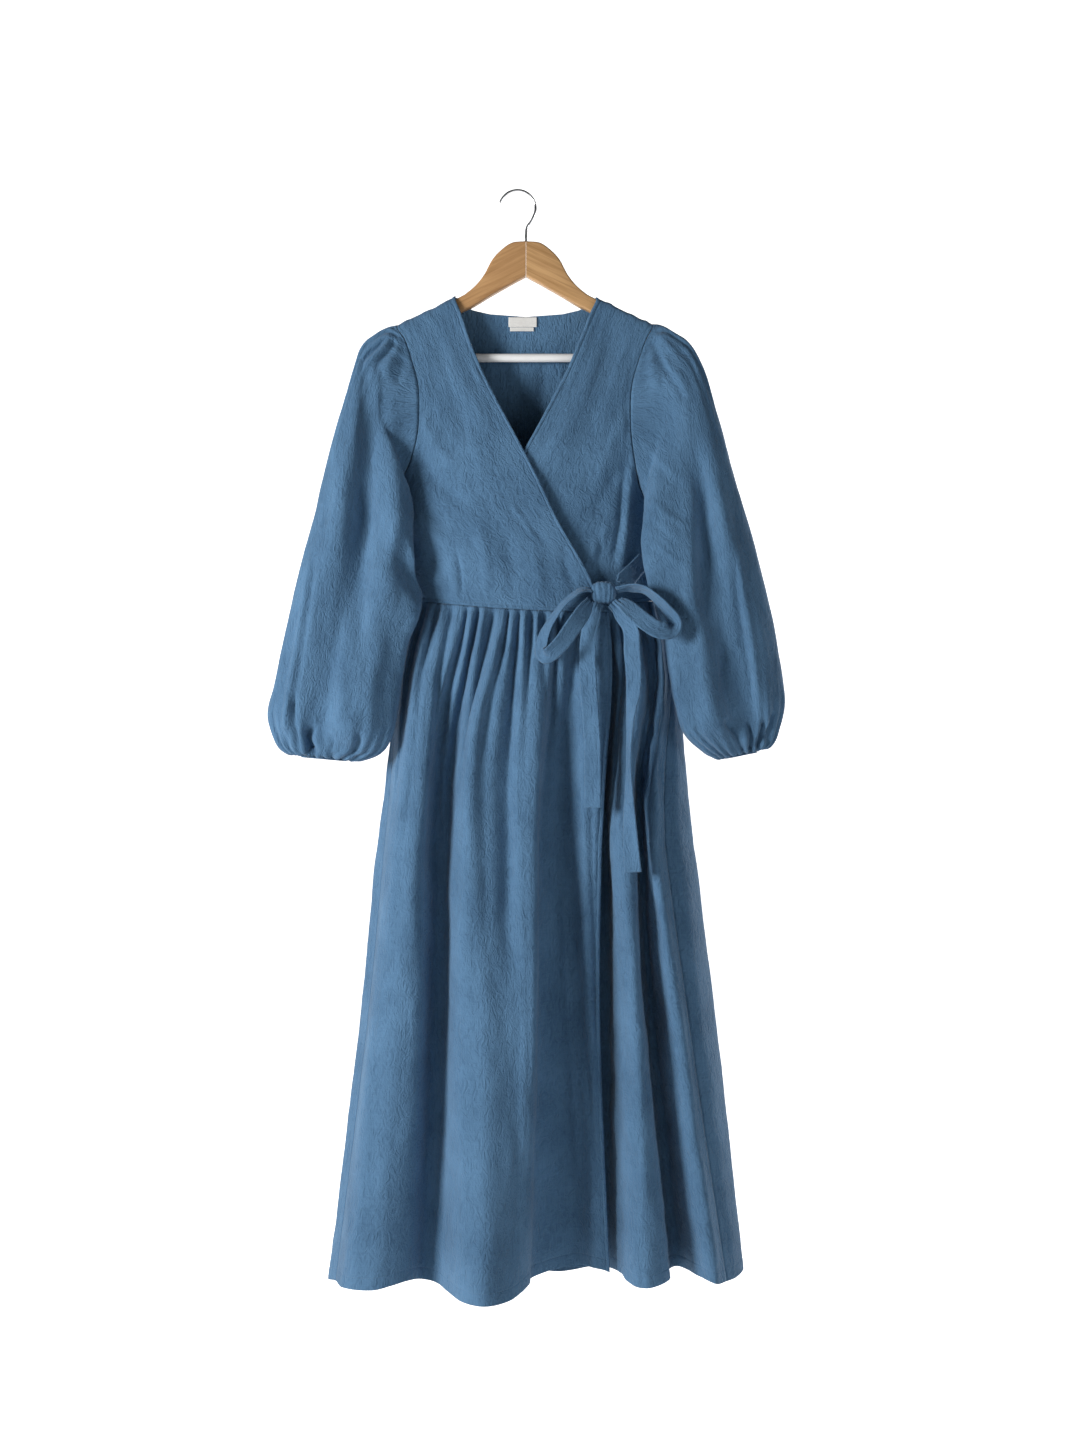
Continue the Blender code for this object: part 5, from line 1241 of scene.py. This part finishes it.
class Nodes:
    """Short calls that add nodes to one tree and link them."""

    def __init__(self, tree):
        self.tree = tree

    def add(self, kind):
        """A new node of a kind."""
        return self.tree.nodes.new(kind)

    def place(self):
        """The place of a point on its piece, in metres."""
        return self.add("ShaderNodeTexCoord").outputs["Object"]

    def bump(self, height, distance, shader):
        """Bump a shader by a height of which 1 is a distance in metres."""
        node = self.add("ShaderNodeBump")
        node.inputs["Distance"].default_value = distance
        self.link(height, node.inputs["Height"])
        self.link(node.outputs[0], shader.inputs["Normal"])

    def link(self, source, target):
        """Link a source socket to a target socket."""
        self.tree.links.new(source, target)

    def feed(self, socket, value):
        """Set a socket to a value, or link it where the value is a socket."""
        if isinstance(value, bpy.types.NodeSocket):
            self.link(value, socket)
        else:
            socket.default_value = value

    def math(self, operation, first, second=0.0):
        """A Math node's result."""
        node = self.add("ShaderNodeMath")
        node.operation = operation
        self.feed(node.inputs[0], first)
        self.feed(node.inputs[1], second)
        return node.outputs[0]

    def total(self, values):
        """The sum of several values."""
        summed = values[0]
        for value in values[1:]:
            summed = self.math("ADD", summed, value)
        return summed

    def noise(self, vector, scale, detail=2.0, distortion=0.0):
        """A Noise Texture's value over stretched coordinates."""
        stretch = self.add("ShaderNodeVectorMath")
        stretch.operation = "MULTIPLY"
        self.link(vector, stretch.inputs[0])
        stretch.inputs[1].default_value = scale
        node = self.add("ShaderNodeTexNoise")
        self.link(stretch.outputs[0], node.inputs["Vector"])
        node.inputs["Scale"].default_value = 1.0
        node.inputs["Detail"].default_value = detail
        node.inputs["Distortion"].default_value = distortion
        return node.outputs["Fac"]

    def ridge(self, value):
        """Crisp ridges where a noise value passes its middle."""
        centred = self.math("SUBTRACT", value, 0.5)
        folded = self.math("ABSOLUTE", centred)
        return self.math("SUBTRACT", 1.0, self.math("MULTIPLY", folded, 5.0))

    def blend(self, factor, first, second):
        """Two colours mixed by a factor."""
        node = self.add("ShaderNodeMix")
        node.data_type = "RGBA"
        self.feed(node.inputs[0], factor)
        self.feed(node.inputs[6], first)
        self.feed(node.inputs[7], second)
        return node.outputs[2]

    def spread(self, value, low, high, to_low, to_high):
        """A value moved from one range to another, and held there."""
        node = self.add("ShaderNodeMapRange")
        self.link(value, node.inputs["Value"])
        for socket, number in zip(("From Min", "From Max", "To Min", "To Max"),
                                  (low, high, to_low, to_high)):
            node.inputs[socket].default_value = number
        return node.outputs["Result"]


def new_group(name, inputs, outputs):
    """A shader node group with named sockets, its Nodes helper and its two ends."""
    group = bpy.data.node_groups.new(name, "ShaderNodeTree")
    for socket_name, kind, value in inputs:
        socket = group.interface.new_socket(socket_name, in_out="INPUT", socket_type=kind)
        if value is not None:
            socket.default_value = value
    for socket_name, kind in outputs:
        group.interface.new_socket(socket_name, in_out="OUTPUT", socket_type=kind)
    start = group.nodes.new("NodeGroupInput")
    end = group.nodes.new("NodeGroupOutput")
    return group, Nodes(group), start.outputs, end.inputs


def washed_cloth_group():
    """Crinkled, garment-washed cotton: its colour with a painted highlight on the crinkle ridges,
    its roughness and its height in mm.
    """
    group, nodes, given, result = new_group(
        "washed_cloth",
        [("Place in mm", "NodeSocketVector", None), ("Lit", "NodeSocketColor", CLOTH_LIT),
         ("Deep", "NodeSocketColor", CLOTH_DEEP), ("Crush", "NodeSocketFloat", 1.0)],
        [("Color", "NodeSocketColor"), ("Roughness", "NodeSocketFloat"),
         ("Height", "NodeSocketFloat")])
    place = given["Place in mm"]
    noises = {name: nodes.noise(place, *kind) for name, *kind in SURFACE}
    for name in ("crush", "crumple"):
        noises[name] = nodes.ridge(noises[name])
    # The crinkle ridges that the crush noise raises are also painted lighter: a painted highlight
    # mixed into the cloth's own uneven tone.
    shade = nodes.total([nodes.spread(noises[name], *ends) for name, *ends in SHADES])
    held = nodes.spread(shade, 0.0, 1.0, 0.0, 1.0)
    nodes.link(nodes.blend(held, given["Deep"], given["Lit"]), result["Color"])
    nodes.link(nodes.spread(noises["grain"], 0.3, 0.7, 0.82, 0.96), result["Roughness"])
    crushed = nodes.math("MULTIPLY", nodes.spread(noises["crush"], *CRUSH_HEIGHT), given["Crush"])
    height = nodes.total([crushed] + [nodes.spread(noises[name], *ends)
                                      for name, *ends in HEIGHTS])
    nodes.link(height, result["Height"])
    return group


def cotton_material(name, group, from_object, crush=1.0, lit=CLOTH_LIT, deep=CLOTH_DEEP):
    """Washed cotton on a piece's own unrolled cloth, or on its place where it has none."""
    material, nodes, shader = new_material(name)
    coordinates = nodes.add("ShaderNodeTexCoord" if from_object else "ShaderNodeUVMap")
    if not from_object:
        coordinates.uv_map = "cloth"
    source = coordinates.outputs["Object" if from_object else "UV"]
    measured = nodes.add("ShaderNodeVectorMath")
    measured.operation = "SCALE"
    measured.inputs["Scale"].default_value = 1.0 / MM
    nodes.link(source, measured.inputs[0])
    cloth = nodes.add("ShaderNodeGroup")
    cloth.node_tree = group
    cloth.inputs["Lit"].default_value = lit
    cloth.inputs["Deep"].default_value = deep
    cloth.inputs["Crush"].default_value = crush
    nodes.link(measured.outputs[0], cloth.inputs["Place in mm"])
    nodes.link(cloth.outputs["Color"], shader.inputs["Base Color"])
    nodes.link(cloth.outputs["Roughness"], shader.inputs["Roughness"])
    nodes.bump(cloth.outputs["Height"], MM, shader)
    shader.inputs["Sheen Weight"].default_value = 0.16
    shader.inputs["Sheen Roughness"].default_value = 0.45
    shader.inputs["Specular IOR Level"].default_value = 0.25
    return material


def thread_material():
    """Sewing thread, a little lighter than the cloth."""
    material, nodes, shader = new_material("sewing_thread")
    place = nodes.place()
    uneven = nodes.noise(place, (220.0, 220.0, 220.0), 2.0)
    deep = (THREAD[0] * 0.7, THREAD[1] * 0.7, THREAD[2] * 0.7, 1.0)
    nodes.link(nodes.blend(uneven, deep, THREAD), shader.inputs["Base Color"])
    shader.inputs["Roughness"].default_value = 0.6
    return material


def wood_material(name, light, dark, slope):
    """Varnished wood with its grain along the sloping arm."""
    material, nodes, shader = new_material(name)
    place = nodes.place()
    turned = nodes.add("ShaderNodeMapping")
    turned.inputs["Rotation"].default_value = (0.0, slope, 0.0)
    nodes.link(place, turned.inputs["Vector"])
    grain = nodes.noise(turned.outputs[0], (14.0, 260.0, 330.0), 5.0, 0.7)
    broad = nodes.noise(turned.outputs[0], (5.0, 60.0, 85.0), 3.0, 1.4)
    pores = nodes.noise(turned.outputs[0], (60.0, 1500.0, 1700.0), 2.0)
    shade = nodes.math("ADD", nodes.spread(grain, 0.3, 0.7, 0.0, 0.5),
                       nodes.spread(broad, 0.3, 0.7, 0.0, 0.5))
    shade = nodes.math("SUBTRACT", shade, nodes.spread(pores, 0.62, 0.74, 0.0, 0.35))
    nodes.link(nodes.blend(nodes.spread(shade, 0.0, 1.0, 0.0, 1.0), dark, light),
               shader.inputs["Base Color"])
    nodes.link(nodes.spread(grain, 0.3, 0.7, 0.34, 0.48), shader.inputs["Roughness"])
    nodes.bump(grain, 0.12 * MM, shader)
    shader.inputs["Coat Weight"].default_value = 0.3
    shader.inputs["Coat Roughness"].default_value = 0.25
    return material


def chrome_material():
    """Polished wire with faint rubbing along it."""
    material, nodes, shader = new_material("hook_chrome")
    place = nodes.place()
    rubbed = nodes.noise(place, (900.0, 900.0, 260.0), 3.0)
    nodes.link(nodes.spread(rubbed, 0.3, 0.7, 0.14, 0.3), shader.inputs["Roughness"])
    nodes.link(nodes.blend(rubbed, (0.68, 0.68, 0.69, 1.0), (0.78, 0.78, 0.79, 1.0)),
               shader.inputs["Base Color"])
    shader.inputs["Metallic"].default_value = 1.0
    return material


def bar_material():
    """Smooth white plastic with a faint unevenness."""
    material, nodes, shader = new_material("bar_white")
    place = nodes.place()
    uneven = nodes.noise(place, (25.0, 120.0, 120.0), 3.0)
    nodes.link(nodes.blend(uneven, (0.86, 0.86, 0.85, 1.0), (0.94, 0.94, 0.94, 1.0)),
               shader.inputs["Base Color"])
    nodes.link(nodes.spread(uneven, 0.3, 0.7, 0.3, 0.42), shader.inputs["Roughness"])
    return material


def label_material():
    """Smooth woven tape, left bare, with fine ribs across it."""
    material, nodes, shader = new_material("label_tape")
    place = nodes.place()
    ribs = nodes.noise(place, (60.0, 60.0, 2600.0), 1.0)
    mottle = nodes.noise(place, (300.0, 300.0, 300.0), 2.0)
    shade = nodes.math("MULTIPLY", ribs, mottle)
    grey = (LABEL_WHITE[0] * 0.9, LABEL_WHITE[1] * 0.9, LABEL_WHITE[2] * 0.9, 1.0)
    nodes.link(nodes.blend(nodes.spread(shade, 0.1, 0.4, 0.0, 1.0), grey, LABEL_WHITE),
               shader.inputs["Base Color"])
    nodes.bump(ribs, 0.06 * MM, shader)
    shader.inputs["Roughness"].default_value = 0.7
    return material


cloth_group = washed_cloth_group()
washed_cotton = cotton_material("washed_cotton", cloth_group, from_object=False)
knot_cotton = cotton_material("knot_cotton", cloth_group, from_object=True, crush=0.6)
sewing_thread = thread_material()
wood_left = wood_material("wood_left", (0.60, 0.345, 0.155, 1.0), (0.33, 0.165, 0.062, 1.0), 0.45)
wood_right = wood_material("wood_right", (0.68, 0.41, 0.19, 1.0), (0.40, 0.215, 0.085, 1.0), -0.45)
hook_chrome = chrome_material()
bar_white = bar_material()
label_tape = label_material()


# Dress
make_front("front_bodice_over", FRONT_OVER, SHOULDER_LEFT_X, NECK_LEFT_X, BODICE_OVER_CREASES,
           11)
make_front("front_bodice_under", FRONT_UNDER, SHOULDER_RIGHT_X, NECK_RIGHT_X,
           BODICE_UNDER_CREASES, 12)
make_back()
left_seam = len(OVER_FOLDS) - 1
right_seam = len(OVER_FOLDS) + len(BACK_FOLDS)
make_skirt_panel("skirt_front_over", (0, left_seam), over_waist, 2.7, SKIRT_OVER_CREASES, 21,
                 free_edge=True)
make_skirt_panel("skirt_front_under", (right_seam, len(FOLDS) - 1), under_waist, 3.0,
                 SKIRT_UNDER_CREASES, 22, crush=2.1)
make_skirt_panel("skirt_back", (left_seam, right_seam), back_waist, 2.2, SKIRT_BACK_CREASES, 23,
                 direction=(0.0, 1.0, 0.0))
side_rows = {
    "left": (front_rows(FRONT_OVER, SHOULDER_LEFT_X, NECK_LEFT_X, np.zeros(1))[:, 0],
             back_rows(np.zeros(1))[:, 0]),
    "right": (front_rows(FRONT_UNDER, SHOULDER_RIGHT_X, NECK_RIGHT_X, np.zeros(1))[:, 0],
              back_rows(np.ones(1))[:, 0]),
}
make_sleeve("left", LEFT_RINGS, *side_rows["left"], 1.0, SLEEVE_LEFT_CREASES, 41, SLEEVE_CUT)
make_sleeve("right", RIGHT_RINGS, *side_rows["right"], -1.0, SLEEVE_RIGHT_CREASES, 42, SLEEVE_CUT)

# Bow
make_tie("bow_loop_left", LOOP_LEFT, 130, 51, pinched="both")
make_tie("bow_loop_right", LOOP_RIGHT, 130, 52, pinched="both")
make_tie("tie_tail_left", TAIL_LEFT, 120, 53, tilt=18.0)
make_tie("tie_tail_right", TAIL_RIGHT, 150, 54, tilt=7.0)
make_tie("tie_strap", STRAP, 36, 55)
make_knot()

# Labels and hanger
make_label(LABEL_MAIN, 0.5, 0.7)
make_label(LABEL_SIZE, 0.6, 0.4, folded=True)
make_arm("hanger_arm_left", -1.0, wood_left)
make_arm("hanger_arm_right", 1.0, wood_right)
make_hook()
make_bar()


# Studio


def make_stage():
    """A pale floor that sweeps up into a bright wall behind the dress."""
    material, nodes, shader = new_material("studio_white")
    place = nodes.place()
    parts = nodes.add("ShaderNodeSeparateXYZ")
    nodes.link(place, parts.inputs[0])
    shader.inputs["Base Color"].default_value = (0.92, 0.92, 0.92, 1.0)
    shader.inputs["Roughness"].default_value = 0.95
    shader.inputs["Emission Color"].default_value = (1.0, 1.0, 1.0, 1.0)
    glow = nodes.spread(parts.outputs["Y"], *STAGE_GLOW)
    seen = nodes.add("ShaderNodeLightPath").outputs["Is Camera Ray"]
    nodes.link(nodes.math("MAXIMUM", glow, nodes.math("MULTIPLY", seen, STAGE_SEEN)),
               shader.inputs["Emission Strength"])
    profile = [(STAGE_FRONT, FLOOR_Z)]
    for step in range(SWEEP_STEPS + 1):
        angle = math.pi / 2.0 * step / SWEEP_STEPS
        profile.append((WALL_Y - SWEEP_RADIUS * (1.0 - math.sin(angle)),
                        FLOOR_Z + SWEEP_RADIUS * (1.0 - math.cos(angle))))
    profile.append((WALL_Y, STAGE_TOP))
    sweep = bmesh.new()
    bmesh.ops.create_grid(sweep, x_segments=1, y_segments=len(profile) - 1, size=0.5)
    for vert in sweep.verts:
        row = round((vert.co.y + 0.5) * (len(profile) - 1))
        vert.co = (vert.co.x * 2.0 * STAGE_HALF, *profile[row])
    mesh = finished("studio_sweep", sweep)
    mesh.materials.append(material)
    made = bpy.data.objects.new("studio_sweep", mesh)
    bpy.context.scene.collection.objects.link(made)


def make_light(name, place, size, power, colour=(1.0, 1.0, 1.0)):
    """A soft square light that faces the middle of the dress."""
    light = bpy.data.lights.new(name, "AREA")
    light.size = size
    light.energy = power
    light.color = colour
    made = bpy.data.objects.new(name, light)
    made.location = place
    made.rotation_euler = (Vector(AIM) - Vector(place)).to_track_quat("-Z", "Y").to_euler()
    bpy.context.scene.collection.objects.link(made)


def make_camera():
    """The photograph's camera, level and straight in front."""
    camera = bpy.data.cameras.new("camera")
    camera.sensor_width = SENSOR_LONG
    camera.lens = CAMERA_LENS
    made = bpy.data.objects.new("camera", camera)
    made.location = Vector(CAMERA_PLACE) * MM
    made.rotation_euler = (math.radians(90.0), 0.0, 0.0)
    bpy.context.scene.collection.objects.link(made)
    bpy.context.scene.camera = made


make_stage()
make_light("key_light", (-2.2, -1.35, -0.35), 0.8, 80.0)
make_light("right_fill", (2.3, -1.5, -0.5), 1.3, 15.0, (0.94, 0.97, 1.0))
make_light("back_fill", (2.0, 1.6, -0.2), 0.8, 30.0)
world = bpy.data.worlds.new("studio_air")
world.use_nodes = True
world.node_tree.nodes["Background"].inputs["Color"].default_value = (0.93, 0.96, 1.0, 1.0)
air = Nodes(world.node_tree)
seen = air.add("ShaderNodeLightPath").outputs["Is Camera Ray"]
air.link(air.spread(seen, 0.0, 1.0, AIR_LIGHT, AIR_SEEN),
         world.node_tree.nodes["Background"].inputs["Strength"])
bpy.context.scene.world = world
bpy.context.scene.view_settings.view_transform = "Standard"
make_camera()
